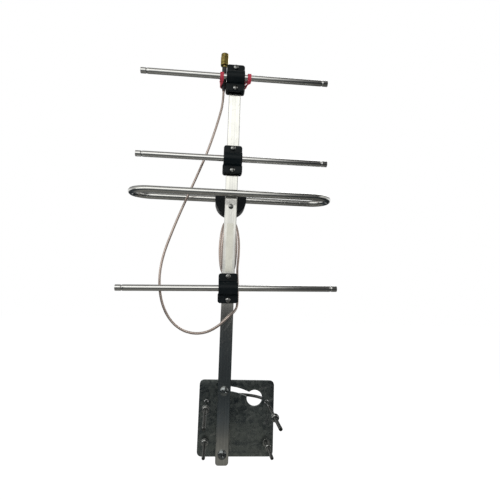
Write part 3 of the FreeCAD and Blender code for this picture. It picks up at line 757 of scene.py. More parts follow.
@dataclass(frozen=True)
class DrawnMetal(Finish):
    """Metal with a drawn or brushed grain along one axis."""

    bright: Colour
    dull: Colour
    grain: Triple
    smooth: float
    rough: float
    scuff: float
    relief: float = 0.000004
    anisotropy: float = 0.0
    banding: float = 0.2
    grain_tone: float = 0.35
    worn_band: Optional[tuple[float, float]] = None
    worn_front: tuple[float, float] = (-0.0139, -0.0136)
    worn_tint: Colour = (0.34, 0.34, 0.335)

    def lay(self, tree: Surface) -> None:
        """Grain sets roughness and tone, smudges dull the metal and scratches cut into it.

        Args:
            tree: Shader tree of the material.
        """
        grain = tree.effect(Effect.GRAIN, Grain=self.grain)
        smudge = tree.effect(Effect.GRIME)["Smudge"]
        marks = tree.effect(Effect.SCRATCHES)["Scratch"]
        fine = grain["Fine"]
        tone = tree.weigh((fine, self.grain_tone), (smudge, 0.5 * self.scuff + 0.1),
                          (grain["Band"], self.banding))
        colour = tree.mix(tone, self.bright, self.dull)
        rough = tree.remap(fine, 0.0, 1.0, self.smooth, self.rough)
        for mask in (smudge, marks):
            rough = tree.plus(rough, tree.times(mask, 0.12 * self.scuff))
        if self.worn_band:
            worn = self.worn(tree)
            colour = tree.mix(tree.times(worn, 0.75), colour, self.worn_tint)
            rough = tree.plus(rough, tree.times(worn, 0.2), clamp=True)
        height = tree.minus(fine, tree.times(marks, 1.6))
        tree.wire({"Base Color": colour, "Roughness": rough, "Normal": tree.bump(height, self.relief),
                   "Metallic": 1.0})
        if self.anisotropy:
            tangent = tree.add("Tangent", direction_type="RADIAL", axis="Z").outputs[0]
            tree.wire({"Anisotropic": self.anisotropy, "Tangent": tangent})

    def worn(self, tree: Surface) -> Socket:
        """Rubbed band across the front face: a range of heights with wavy edges, broken up by noise.

        Args:
            tree: Shader tree of the material.

        Returns:
            The mask.
        """
        low, high = self.worn_band
        soft = 0.001
        place = tree.parts(tree.place)
        wobble = tree.times(tree.minus(tree.noise(tree.place, 700.0, 4.0, 0.7), 0.5), 0.006)
        height = tree.plus(place[2], wobble)
        band = tree.times(tree.remap(height, low - soft, low + soft),
                          tree.remap(height, high - soft, high + soft, 1.0, 0.0))
        band = tree.times(band, tree.remap(place[1], *self.worn_front, 1.0, 0.0))
        streaks = tree.noise(tree.stretch(tree.place, (5000.0, 800.0, 900.0)), 1.0)
        return tree.times(band, tree.remap(streaks, 0.3, 0.6))


@dataclass(frozen=True)
class Galvanised(Finish):
    """Zinc-coated sheet with small crystals, a rolled grain along X and handling marks."""

    light: Colour = (0.36, 0.39, 0.36)
    dark: Colour = (0.085, 0.105, 0.115)
    scratched: Colour = (0.50, 0.51, 0.49)

    def lay(self, tree: Surface) -> None:
        """Crystals, grain and blotches set tone and roughness, and a painted shade darkens the sheet towards
        its top-left corner.

        Args:
            tree: Shader tree of the material.
        """
        zinc = tree.effect(Effect.SPANGLE, Size=420.0)
        scratch = tree.effect(Effect.SCRATCHES, Scale=45.0, Width=0.008)["Scratch"]
        rolled = tree.effect(Effect.GRAIN, Grain=(90.0, 1500.0, 1500.0))["Fine"]
        crystal, blotch = zinc["Crystal"], zinc["Blotch"]
        tone = tree.weigh((crystal, 0.34), (blotch, 0.26), (rolled, 0.34))
        place = tree.parts(tree.place)
        # painted shade and light: the tone falls towards the top-left corner and rises towards the
        # bottom-right
        painted_shade_lean = tree.minus(tree.times(place[0], 0.5), place[2])
        tone = tree.plus(tone, tree.remap(painted_shade_lean, -0.04, 0.035, -0.2, 0.14), clamp=True)
        colour = tree.mix(tree.times(scratch, 0.4), tree.mix(tone, self.dark, self.light), self.scratched)
        rough = tree.plus(tree.remap(crystal, 0.0, 1.0, 0.2, 0.32), tree.times(blotch, 0.06))
        normal = tree.bump(tree.plus(tree.times(crystal, 0.5), rolled), 0.000012)
        tree.wire({"Base Color": colour, "Roughness": rough, "Normal": normal, "Metallic": 0.9})


@dataclass(frozen=True)
class MouldedPlastic(Finish):
    """Injection-moulded plastic with a fine texture, dust and slightly polished high spots."""

    tint: Colour
    dust: Colour = (0.10, 0.10, 0.10)
    smooth: float = 0.38
    rough: float = 0.55
    relief: float = 0.00002
    dustiness: float = 0.25
    gloss: float = 0.5

    def lay(self, tree: Surface) -> None:
        """Moulded texture as bump, smudges as roughness, specks of dust.

        Args:
            tree: Shader tree of the material.
        """
        height = tree.effect(Effect.TEXTURE)["Height"]
        grime = tree.effect(Effect.GRIME, Smudge_Size=90.0, Speck_Size=1800.0)
        dirt = tree.weigh((grime["Smudge"], 0.35), (grime["Speck"], 1.0))
        tree.wire({"Base Color": tree.mix(tree.times(dirt, self.dustiness), self.tint, self.dust),
                   "Roughness": tree.remap(grime["Smudge"], 0.0, 1.0, self.smooth, self.rough),
                   "Normal": tree.bump(height, self.relief, 0.8), "Specular IOR Level": self.gloss})


@dataclass(frozen=True)
class BraidedCoax(Finish):
    """Clear brownish jacket over a woven braid; the pattern follows the cable's own map."""

    light: Colour = (0.86, 0.75, 0.69)
    dark: Colour = (0.20, 0.125, 0.10)
    pitch: float = 4.2 * MM
    carriers: float = 4.0

    def lay(self, tree: Surface) -> None:
        """Two crossing sets of helical stripes weave the braid: sin(pi * fraction of (along +- around)).

        Args:
            tree: Shader tree of the material.
        """
        uv = tree.add("UVMap", uv_map="UVMap").outputs[0]
        place = tree.parts(uv)
        turns = tree.times(place[0], self.carriers)
        along = tree.times(tree.math("DIVIDE", place[1], self.pitch), self.carriers * 0.5)
        waves = [tree.math("FRACT", tree.math(sign, along, turns)) for sign in ("ADD", "SUBTRACT")]
        first, second = (tree.math("SINE", tree.times(wave, math.pi)) for wave in waves)
        over, under = tree.math("MAXIMUM", first, second), tree.math("MINIMUM", first, second)
        weave = tree.remap(tree.plus(tree.times(over, 0.7), tree.times(under, 0.5)), 0.35, 1.15)
        wires = tree.noise(tree.stretch(uv, (90.0, 9000.0, 1.0)), 1.0, 2.0, 0.6)
        smudge = tree.effect(Effect.GRIME, Smudge_Size=60.0)["Smudge"]
        tone = tree.minus(tree.weigh((weave, 0.75), (wires, 0.35)), tree.times(smudge, 0.12), clamp=True)
        tree.wire({"Base Color": tree.mix(tone, self.dark, self.light),
                   "Roughness": tree.remap(weave, 0.0, 1.0, 0.36, 0.2),
                   "Normal": tree.bump(weave, 0.00006, 0.9), "Metallic": 0.85,
                   "Coat Weight": 0.5, "Coat Roughness": 0.14, "Coat IOR": 1.35})


@dataclass(frozen=True)
class GoldPlate(Finish):
    """Thin gold over brass, polished, with fine machining lines round the axis."""

    bright: Colour = (0.46, 0.37, 0.12)
    dull: Colour = (0.07, 0.045, 0.015)

    def lay(self, tree: Surface) -> None:
        """Turning lines as bump, smudges as tone.

        Args:
            tree: Shader tree of the material.
        """
        lines = tree.noise(tree.stretch(tree.place, (250.0, 250.0, 14000.0)), 1.0, 3.0, 0.7)
        smudge = tree.effect(Effect.GRIME, Smudge_Size=420.0, Speck_Size=2600.0)["Smudge"]
        tree.wire({"Base Color": tree.mix(tree.weigh((smudge, 0.5), (lines, 0.2)), self.bright, self.dull),
                   "Roughness": tree.remap(smudge, 0.0, 1.0, 0.07, 0.2),
                   "Normal": tree.bump(lines, 0.000006, 0.8), "Metallic": 1.0})


@dataclass(frozen=True)
class SoftRubber(Finish):
    """Rubber or heat-shrunk tube with a fine skin and a soft sheen."""

    ribs: Triple
    tint: Colour = (0.02, 0.02, 0.022)
    pale: Colour = (0.07, 0.07, 0.075)
    smooth: float = 0.4
    rough: float = 0.6

    def lay(self, tree: Surface) -> None:
        """Stretched noise gives wrinkles, smudges give bloom.

        Args:
            tree: Shader tree of the material.
        """
        skin = tree.noise(tree.stretch(tree.place, self.ribs), 1.0, 3.0, 0.55)
        grime = tree.effect(Effect.GRIME, Smudge_Size=160.0, Speck_Size=2200.0)
        bloom = tree.weigh((grime["Smudge"], 0.4), (grime["Speck"], 0.3))
        tree.wire({"Base Color": tree.mix(bloom, self.tint, self.pale),
                   "Roughness": tree.remap(skin, 0.3, 0.7, self.smooth, self.rough),
                   "Normal": tree.bump(skin, 0.00005, 0.7)})


@dataclass(frozen=True)
class LabelFilm(Finish):
    """Bare printed-film label: pale satin film with faint fibres and smudges."""

    tint: Colour = (0.84, 0.83, 0.73)
    aged: Colour = (0.70, 0.69, 0.60)

    def lay(self, tree: Surface) -> None:
        """Soft mottling and fibres.

        Args:
            tree: Shader tree of the material.
        """
        fibre = tree.noise(tree.stretch(tree.place, (2200.0, 2200.0, 500.0)), 1.0, 4.0, 0.6)
        smudge = tree.effect(Effect.GRIME, Smudge_Size=130.0, Speck_Size=1500.0)["Smudge"]
        tree.wire({"Base Color": tree.mix(tree.weigh((smudge, 0.5), (fibre, 0.25)), self.tint, self.aged),
                   "Roughness": tree.remap(fibre, 0.3, 0.7, 0.36, 0.5),
                   "Normal": tree.bump(fibre, 0.00001, 0.6)})


class Palette:
    """Every finish of the antenna, built once."""

    def __init__(self) -> None:
        """Builds the effects, then all the materials."""
        for build in (build_grain, build_grime, build_scratches, build_spangle, build_texture):
            build()
        self.boom = DrawnMetal(
            "BoomAluminium", "boom", bright=(0.93, 0.925, 0.885), dull=(0.50, 0.51, 0.50),
            grain=(5400.0, 5400.0, 16.0), smooth=0.12, rough=0.2, scuff=0.35, anisotropy=0.6, banding=0.5,
            worn_band=(0.2083, 0.2138)).coat()
        self.element = DrawnMetal(
            "ElementTube", "element", bright=(0.84, 0.84, 0.83), dull=(0.62, 0.625, 0.62),
            grain=(40.0, 5200.0, 5200.0), smooth=0.10, rough=0.17, scuff=0.25, relief=0.0000009,
            grain_tone=0.2).coat()
        self.dipole = DrawnMetal(
            "DipoleTube", "element", bright=(0.80, 0.80, 0.785), dull=(0.55, 0.555, 0.545),
            grain=(45.0, 4200.0, 4200.0), smooth=0.12, rough=0.2, scuff=0.35, relief=0.0000012,
            grain_tone=0.25).coat()
        self.zinc = DrawnMetal(
            "BrightZinc", "screw_steel", bright=(0.60, 0.61, 0.60), dull=(0.26, 0.265, 0.26),
            grain=(900.0, 900.0, 900.0), smooth=0.09, rough=0.2, scuff=0.5, relief=0.000006).coat()
        self.bolt = DrawnMetal(
            "BoltSteel", "u_bolt_steel", bright=(0.20, 0.205, 0.20), dull=(0.045, 0.05, 0.05),
            grain=(1400.0, 200.0, 1400.0), smooth=0.1, rough=0.24, scuff=0.6, relief=0.000006).coat()
        self.dark_steel = DrawnMetal(
            "DarkScrewSteel", "screw_steel", bright=(0.42, 0.45, 0.46), dull=(0.07, 0.085, 0.095),
            grain=(1200.0, 1200.0, 1200.0), smooth=0.07, rough=0.2, scuff=0.8, relief=0.000006).coat()
        self.plate = Galvanised("GalvanisedPlate", "bracket_steel").coat()
        self.clamp = MouldedPlastic("ClampPlastic", "clamp_plastic", tint=(0.0035, 0.007, 0.009), smooth=0.3,
                                    rough=0.42, dustiness=0.07, gloss=0.16).coat()
        self.box = MouldedPlastic("BoxPlastic", "box_plastic", tint=(0.0055, 0.0085, 0.0105), smooth=0.45,
                                  rough=0.6, relief=0.00003, dustiness=0.06, gloss=0.2).coat()
        self.plug_end = MouldedPlastic("EndPlugPlastic", "end_plug", tint=(0.03, 0.03, 0.03), smooth=0.5,
                                       rough=0.65).coat()
        self.board = MouldedPlastic("BoardLaminate", "board", tint=(0.42, 0.34, 0.17),
                                    dust=(0.5, 0.45, 0.3)).coat()
        self.ptfe = MouldedPlastic("InsulatorWhite", "ptfe", tint=(0.82, 0.82, 0.79), dust=(0.7, 0.7, 0.66),
                                   smooth=0.35, rough=0.45, relief=0.000006).coat()
        self.coax = BraidedCoax("CoaxJacket", "coax_jacket").coat()
        self.gold = GoldPlate("PlugGold", "plug_gold").coat()
        self.boot = SoftRubber("BootRubber", "boot_rubber", ribs=(500.0, 500.0, 900.0)).coat()
        self.band = SoftRubber("BandRubber", "band_rubber", ribs=(900.0, 900.0, 900.0),
                               tint=(0.50, 0.022, 0.055), pale=(0.62, 0.10, 0.13)).coat()
        self.label = LabelFilm("BareLabel", "label").coat()


# --- fasteners
@dataclass
class ThreadForm:
    """Screw thread whose crest winds round the axis once per pitch."""

    pitch: float
    depth: float
    start: float
    stop: float
    slope: float = 1.25
    crest: float = 0.1

    def __call__(self, angle: Array, place: Array, radius: Array) -> Array:
        """Radius less a triangular wave of (place / pitch - angle / turn), faded at the thread's ends.

        Args:
            angle: Angle round the axis.
            place: Distance along it.
            radius: Radius of the crest.

        Returns:
            The radius.
        """
        phase = (place / self.pitch - angle / TAU) % 1.0
        wave = np.clip(self.slope * np.abs(2 * phase - 1) - self.crest, 0, 1)
        begun = np.clip((place - self.start) / self.pitch, 0, 1)
        left = np.clip((self.stop - place) / self.pitch + 1, 0, 1)
        return radius - self.depth * wave * begun * left


@dataclass
class ScrewSet:
    """Pan-head screws with a cross recess, drawn along Y from the box of their CAD node."""

    node: str
    coat: Coat
    shank: float
    head_height: float
    pitch: float
    turns: Sequence[float]
    row: Axis = Axis.Z
    from_behind: bool = False
    askew: float = 0.0
    about: Sequence[float] = (0.0, 0.0, 0.0)
    recess_reach: float = 0.62
    recess_half: float = 0.115
    recess_depth: float = 0.62
    recess_end: float = 0.25
    recess_wall: float = 0.05
    dome: float = 0.42
    dome_power: float = 2.2
    rim: float = 0.16
    threaded_turns: int = 7

    def build(self) -> None:
        """Builds the node's screws as one piece: one in the middle, or two at the ends of their row."""
        low, high = corners_of(self.node)
        narrow = Axis.X if self.row is Axis.Z else Axis.Z
        head_r = (high - low)[narrow.value] / 2
        patches = []
        for turn, end in zip(self.turns, (low + head_r, high - head_r)):
            centre = (low + high) / 2
            if len(self.turns) > 1:
                centre[self.row.value] = end[self.row.value]
            patches += self.screw(centre, low[1], high[1], head_r, turn)
        dress(self.node, skewed(patches, self.about, self.askew), self.coat, 32)

    def screw(self, centre: Array, low: float, high: float, head_r: float, turn: float) -> list[Patch]:
        """One screw: a domed head with a cross recess and a threaded shank.

        The head's top is a polar grid whose depth is the dome less the recess, where the recess is
        the deeper of two crossed slots that shallow towards their ends.

        Args:
            centre: Point on the axis.
            low: Lowest Y.
            high: Highest Y.
            head_r: Radius of the head.
            turn: Angle of the recess.

        Returns:
            The crown, the rim and the shank.
        """
        sign, top = (-1.0, high) if self.from_behind else (1.0, low)
        x, _, z = centre
        length, h = high - low, self.head_height
        radii = np.hstack([np.linspace(0, 0.7, 30), np.linspace(0.73, 1.0, 10)]) * head_r
        r, t = np.meshgrid(radii, around(96), indexing="ij")
        dome = h * self.dome * (r / head_r) ** self.dome_power + edge_drop(head_r - r, self.rim * h)
        a, b = np.cos(t - turn) * r, np.sin(t - turn) * r
        recess = np.zeros_like(r)
        for along, side in ((a, b), (b, a)):
            reach = np.clip((self.recess_reach - np.abs(along) / head_r) / (1 - self.recess_reach), 0, 1)
            wall = np.clip((self.recess_half - np.abs(side) / head_r) / self.recess_wall, 0, 1)
            floor = self.recess_end + (1 - self.recess_end) * reach
            recess = np.maximum(recess, wall * floor * (reach > 0))
        depth = dome + recess * h * self.recess_depth
        crown = np.stack([x + r * np.cos(t), top + sign * depth, z + r * np.sin(t)], -1)
        under = np.array([[dome[-1, 0], head_r], [h * 0.9, head_r], [h, head_r * 0.97], [h, self.shank]])
        rim = revolve(under * [sign, 1], (x, top, z), Axis.Y, 96)
        threaded = length - self.threaded_turns * self.pitch
        thread = ThreadForm(self.pitch, self.pitch * 0.5, threaded, length - 0.5 * self.pitch)
        shank = level([h, *between(threaded, length - 0.4 * self.pitch, self.pitch / 7)], self.shank)
        tip = [[length, self.shank - 0.5 * self.pitch], [length, 0.0]]
        body = revolve(np.vstack([shank, tip]), (0, 0, 0), Axis.Y, 32, shape=thread)
        body.verts = body.verts * [1, sign, 1] + [x, top, z]
        return [grid(crown, wrap_u=True), rim, body]


def hexagon(angle: Array, flat: float, limit: float) -> Array:
    """Radius of a hexagon with a corner at zero: flat / cos(angle from a flat's middle), up to a limit."""
    local = (angle + SIXTH / 2) % SIXTH - SIXTH / 2
    return np.minimum(flat / np.cos(local - np.sign(local + 1e-12) * SIXTH / 2), limit)


def hex_nut(foot: Sequence[float], across_flats: float, height: float, bore: float, turn: float) -> Patch:
    """Hexagon nut along Y with chamfered corners on both faces and a bevelled bore.

    The radius at an angle is the lesser of the hexagon's and that of a cone that cuts its corners.

    Args:
        foot: Centre of the face where the nut begins.
        across_flats: Distance between two flats.
        height: Length along the axis.
        bore: Radius of the bore.
        turn: Angle of the first corner.

    Returns:
        The patch.
    """
    flat = across_flats / 2
    corner = flat / math.cos(SIXTH / 2)
    blunt = corner - NUT_BLUNT * flat

    def cut(t: Array, s: Array, r: Array) -> Array:
        """Outer radii cut to the hexagon and the cone."""
        cone = flat * NUT_FACE + NUT_SLOPE * np.minimum(np.abs(s), np.abs(height - s))
        return np.where(r >= flat, np.minimum(hexagon(t - turn, flat, np.minimum(cone, blunt)), r), r)

    rim = np.array([0, 0.02, 0.05, 0.09, 0.13, 0.18, 0.24, 0.5, 0.76, 0.82, 0.87, 0.91, 0.95, 0.98, 1.0])
    bevel = NUT_BEVEL * bore
    inner = between(height - bevel, bevel, 0.12 * MM)
    profile = np.vstack([
        [[0, flat * NUT_FACE]], level(rim * height, corner),
        [[height, flat * NUT_FACE], [height, bore + bevel], [height - bevel, bore]],
        level(inner, bore), [[bevel, bore], [0, bore + bevel]]])
    return revolve(profile, foot, Axis.Y, 96, closed=True, shape=cut, turn=turn)


def washer(foot: Sequence[float], outer: float, inner: float, thickness: float) -> Patch:
    """Flat washer along Y with softened edges.

    Args:
        foot: Centre of its first face.
        outer: Outer radius.
        inner: Inner radius.
        thickness: Length along the axis.

    Returns:
        The patch.
    """
    soft = thickness * 0.22
    loop = rounded([(0, inner, soft / 2), (0, outer, soft), (thickness, outer, soft),
                    (thickness, inner, soft / 2)], closed=True)
    return revolve(loop, foot, Axis.Y, 64, closed=True)


# --- bracket
@dataclass
class Bracket:
    """Plate with its slot and keyhole, and two U-bolts with their nuts and washers."""

    palette: Palette
    corner: float = 5.0 * MM
    bevel: float = 0.22 * MM
    hole: float = 1.8 * MM
    pitch_x: float = 58.0 * MM
    pitch_z: float = 36.0 * MM
    pivot: tuple[float, float] = (-12.6 * MM, -26.0 * MM)
    pivot_hole: float = 2.05 * MM
    lock_radius: float = 56.0 * MM
    slot_half: float = 2.3 * MM
    slot_from: float = math.radians(-3.0)
    keyhole_at: float = math.radians(32.0)
    keyhole: float = 7.5 * MM
    wire: float = 1.5 * MM
    wire_play: float = 0.1 * MM
    thread_pitch: float = 0.5 * MM
    thread_share: float = 0.42
    threaded_length: float = 64.0 * MM
    tip_turns: float = 0.9
    tip_cut: float = 0.32
    nut_flats: float = 5.5 * MM
    nut_height: float = 2.4 * MM
    washer_outer: float = 3.6 * MM
    washer_t: float = 0.8 * MM

    def build(self) -> None:
        """Builds the plate and both U-bolts with their nuts, each nut at an angle of its own."""
        self.plate()
        for body, turns in ((Body.UPPER_U_BOLT, (0.35, 0.8)), (Body.LOWER_U_BOLT, (0.1, 0.6))):
            self.u_bolt(body)
            self.fasteners(body, turns)

    @staticmethod
    def polar(radius: float, angle: Array, centre: Sequence[float]) -> Array:
        """Points at a radius about a centre; the angle is measured from +Z towards +X."""
        return np.stack([centre[0] + radius * np.sin(angle), centre[1] + radius * np.cos(angle)], -1)

    def slot_outline(self) -> Array:
        """Arc slot joined to the keyhole, as one closed line.

        Two circles meet where the cosine rule gives the angle between the keyhole's centre and the
        slot's edge.

        Returns:
            Array of shape (n, 2).
        """
        def meeting(edge: float) -> float:
            """Angle about the pivot where the keyhole's circle meets an edge of the slot."""
            top = edge ** 2 + self.lock_radius ** 2 - self.keyhole ** 2
            return self.keyhole_at - math.acos(top / (2 * edge * self.lock_radius))

        def bearing(edge: float) -> float:
            """Angle about the keyhole's centre of that same point."""
            x, z = self.polar(edge, np.array(meeting(edge)), self.pivot) - centre
            return math.atan2(x, z)

        outer, inner = self.lock_radius + self.slot_half, self.lock_radius - self.slot_half
        centre = self.polar(self.lock_radius, np.array(self.keyhole_at), self.pivot)
        start = self.polar(self.lock_radius, np.array(self.slot_from), self.pivot)
        first, last = bearing(outer), bearing(inner)
        if last < first:
            last += TAU
        cap = np.linspace(self.slot_from + math.pi, self.slot_from + TAU, 14)
        return np.vstack([
            self.polar(self.slot_half, cap, start)[1:-1],
            self.polar(outer, np.linspace(self.slot_from, meeting(outer), 24), self.pivot),
            self.polar(self.keyhole, np.linspace(first, last, 56), centre)[1:-1],
            self.polar(inner, np.linspace(meeting(inner), self.slot_from, 24), self.pivot),
        ])

    def plate(self) -> None:
        """Builds the plate from its outline and holes, filled, thickened and bevelled."""
        low, high = corners_of("bracket_plate")
        corners = [(low[0], low[2]), (high[0], low[2]), (high[0], high[2]), (low[0], high[2])]
        loops = [rounded([(*place, self.corner) for place in corners], 12, True), self.slot_outline()]
        ring = around(40)
        for x in (-self.pitch_x / 2, self.pitch_x / 2):
            for z in (-self.pitch_z / 2, self.pitch_z / 2):
                loops.append(self.polar(self.hole, ring, (x, z)))
        loops.append(self.polar(self.pivot_hole, ring, self.pivot))
        curve = bpy.data.curves.new("plate_outline", "CURVE")
        curve.dimensions = "2D"
        curve.fill_mode = "BOTH"
        for loop in loops:
            spline = curve.splines.new("POLY")
            spline.points.add(len(loop) - 1)
            spline.points.foreach_set("co", np.column_stack([loop, np.tile([0, 1], (len(loop), 1))]).ravel())
            spline.use_cyclic_u = True
        curve.extrude = (high[1] - low[1]) / 2 - self.bevel
        curve.bevel_depth = self.bevel
        curve.bevel_resolution = 3
        curve.offset = -self.bevel
        mesh = mesh_of(curve)
        flat = points_of(mesh)
        upright = np.column_stack([flat[:, 0], (low[1] + high[1]) / 2 - flat[:, 2], flat[:, 1]])
        mesh.vertices.foreach_set("co", upright.astype(np.float32).ravel())
        install("mast_plate", mesh, "bracket_plate", self.palette.plate, Body.BRACKET, 30)

    def u_bolt(self, body: Body) -> None:
        """Round wire bent to a U, with a cut thread on both legs.

        The path is a leg, a half circle and a leg; its radius follows the thread near each end.

        Args:
            body: The U-bolt's body, whose name its node has.
        """
        low, high = corners_of(body.value)
        leg, z = self.pitch_x / 2, (low[2] + high[2]) / 2
        crown, plain_from = high[1] - leg - self.wire, low[1] + self.threaded_length
        ys = between(low[1], plain_from, self.thread_pitch / 7)
        if crown > plain_from:
            ys = np.hstack([ys, between(plain_from, crown, 2.5 * MM)[1:]])
        arc = np.linspace(math.pi, 0, 72)[1:-1]
        left = np.column_stack([np.full(len(ys), -leg), ys, np.full(len(ys), z)])
        bend = np.column_stack([leg * np.cos(arc), crown + leg * np.sin(arc), np.full(len(arc), z)])
        path = np.vstack([left, bend, left[::-1] * [-1, 1, 1]])
        total = run_of(path)[-1]
        form = ThreadForm(self.thread_pitch, self.thread_share * self.thread_pitch, 0, self.threaded_length)
        tip = self.tip_turns * self.thread_pitch

        def cut(t: Array, s: Array, r: Array) -> Array:
            """Thread from both ends, with pointed tips."""
            near = np.minimum(s, total - s)
            return form(t, near, r) * (1 - self.tip_cut * np.clip(1 - near / tip, 0, 1))

        tube = sweep(path, self.wire, level_frames(path), 28, shape=cut)
        dress(body.value, capped(tube, 28), self.palette.bolt, 50, body=body)

    def fasteners(self, body: Body, turns: Sequence[float]) -> None:
        """Nuts and washers on both legs, at the places of their CAD nodes.

        Args:
            body: The U-bolt's body.
            turns: Angle of each nut.
        """
        nuts, washers = body.value + "_nuts", body.value + "_washers"
        zinc = self.palette.zinc
        dress(nuts, [hex_nut(foot, self.nut_flats, self.nut_height, self.wire * 0.97, turn)
                     for foot, turn in zip(self.feet(nuts), turns)], zinc, 30, body=body)
        dress(washers, [washer(foot, self.washer_outer, self.wire + self.wire_play, self.washer_t)
                        for foot in self.feet(washers)], zinc, 30, body=body)

    @staticmethod
    def feet(node: str) -> list[Array]:
        """Lowest point along each leg's axis of the two solids of a node, left leg first.

        Args:
            node: The node.

        Returns:
            Two points.
        """
        co = points_of(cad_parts[node].data)
        halves = [co[co[:, 0] < 0], co[co[:, 0] > 0]]
        return [(half.min(0) + half.max(0)) / 2 * [1, 0, 1] + half.min(0) * [0, 1, 0] for half in halves]


# --- boom
@dataclass
class Boom:
    """Square tube with its pivot, lock and box screws, nuts and bare label."""

    palette: Palette
    screw: float = 2.0 * MM
    screw_head: float = 2.8 * MM
    screw_pitch: float = 0.7 * MM
    washer_outer: float = 4.5 * MM
    washer_inner: float = 2.1 * MM
    nut_flats: float = 7.0 * MM
    label_corner: float = 0.8 * MM
    label_edge: float = 0.05 * MM
    label_ripple: float = 0.012 * MM

    def build(self) -> None:
        """Dresses the tube and adds its fasteners and label."""
        paint("boom_tube", self.palette.boom)
        dark, zinc = self.palette.dark_steel, self.palette.zinc
        for name, turn in (("pivot", 0.55), ("lock", 1.0)):
            ScrewSet(name + "_screw", dark, self.screw, self.screw_head, self.screw_pitch, (turn,)).build()
            foot, thickness = self.seat(name + "_washer")
            dress(name + "_washer", [washer(foot, self.washer_outer, self.washer_inner, thickness)], dark, 30)
            foot, thickness = self.seat(name + "_nut")
            dress(name + "_nut", [hex_nut(foot, self.nut_flats, thickness, self.screw, turn * 2)], zinc, 30)
        ScrewSet("feed_box_screw", zinc, 1.5 * MM, 2.0 * MM, 0.5 * MM, (0.5,)).build()
        self.label()

    @staticmethod
    def seat(node: str) -> tuple[Array, float]:
        """Centre of a node's first face along Y, and its thickness."""
        low, high = corners_of(node)
        return (low + high) / 2 * [1, 0, 1] + low * [0, 1, 0], high[1] - low[1]

    def label(self) -> None:
        """Thin film label with rounded corners and a faint ripple, |sin z * cos x|, on the boom's front."""
        low, high = corners_of("label_strip")
        half_x, _, half_z = (high - low) / 2
        plan = Plan(half_x, half_z, self.label_corner, self.label_edge, np.linspace(-0.8, 0.8, 9) * half_x,
                    np.linspace(-0.95, 0.95, 40) * half_z)
        ripple = self.label_ripple * np.abs(np.sin(plan.z * 900) * np.cos(plan.x * 700))
        front = low[1] + edge_drop(plan.border(), self.label_edge) + ripple
        patches = plan.relief((low + high) / 2, front, np.full_like(front, high[1]))
        dress("label_strip", patches, self.palette.label, name="bare_label")


# --- elements
@dataclass
class RodElement:
    """Straight tube element with crimped ends, open for the plastic plugs that build_rod_plugs adds."""

    palette: Palette
    name: str
    askew: float
    wall: float = 0.8 * MM
    crimp_at: float = 6.0 * MM
    crimp_width: float = 0.55 * MM
    crimp_depth: float = 0.42 * MM
    mark_from_crimp: float = 1.6 * MM
    mark_width: float = 0.5 * MM
    mark_depth: float = 0.16 * MM
    roll: float = 0.3 * MM
    inner_roll: float = 0.2 * MM
    fine_step: float = 0.3 * MM
    fine_length: float = 9.0 * MM
    coarse_step: float = 6.0 * MM

    def build(self) -> None:
        """Builds the tube as a closed profile turned about X, a touch askew in its clamp."""
        low, high = corners_of(self.name + "_rod")
        centre = (low + high) / 2
        half, _, radius = (high - low) / 2
        roll = np.array([0.0, 0.15, 0.35, 0.6, 1.0]) * self.roll
        ends = np.hstack([roll, between(2 * self.roll, self.fine_length, self.fine_step)])
        inside = half - 2 * self.coarse_step
        middle = between(-inside, inside, self.coarse_step)
        outer_s = np.hstack([ends - half, middle, half - ends[::-1]])
        near = half - np.abs(outer_s)
        crimp = self.crimp_depth * dip(near - self.crimp_at, self.crimp_width)
        outer_r = radius - edge_drop(near, self.roll) - crimp
        inner_r = radius - self.wall + edge_drop(near, self.inner_roll)
        profile = np.vstack([np.column_stack([outer_s, outer_r]), np.column_stack([outer_s, inner_r])[::-1]])

        def dented(t: Array, s: Array, r: Array) -> Array:
            """Four shallow punch marks beside each crimp."""
            depth = sum(dip(s - side * (half - self.crimp_at - self.mark_from_crimp), self.mark_width)
                        * dip(np.cos(2 * t + 0.4 * side) - 1, 0.12) for side in (-1, 1))
            return r - np.where(r > radius - 0.5 * self.wall, self.mark_depth * depth, 0)

        tube = revolve(profile, centre, Axis.X, 64, closed=True, shape=dented)
        dress(self.name + "_rod", skewed([tube], centre, self.askew), self.palette.element,
              name=self.name + "_tube")


def build_rod_plugs(palette: Palette) -> None:
    """Domed plastic plugs in the open ends of all three straight elements.

    Args:
        palette: Finishes.
    """
    profile = np.array([[4.0, 0], [4.0, 2.16], [0.9, 2.18], [0.55, 2.1], [0.4, 1.8], [0.34, 1.2], [0.3, 0.5],
                        [0.3, 0.0]]) * MM
    patches = []
    for name, askew in ELEMENT_ANGLES.items():
        centre = middle_of(name + "_rod")
        for side, end in zip((-1, 1), corners_of(name + "_rod")):
            plug = revolve(profile * [-side, 1], (end[0], centre[1], centre[2]), Axis.X, 40)
            patches += skewed([plug], centre, askew)
    dress("rod_end_plugs", patches, palette.plug_end)


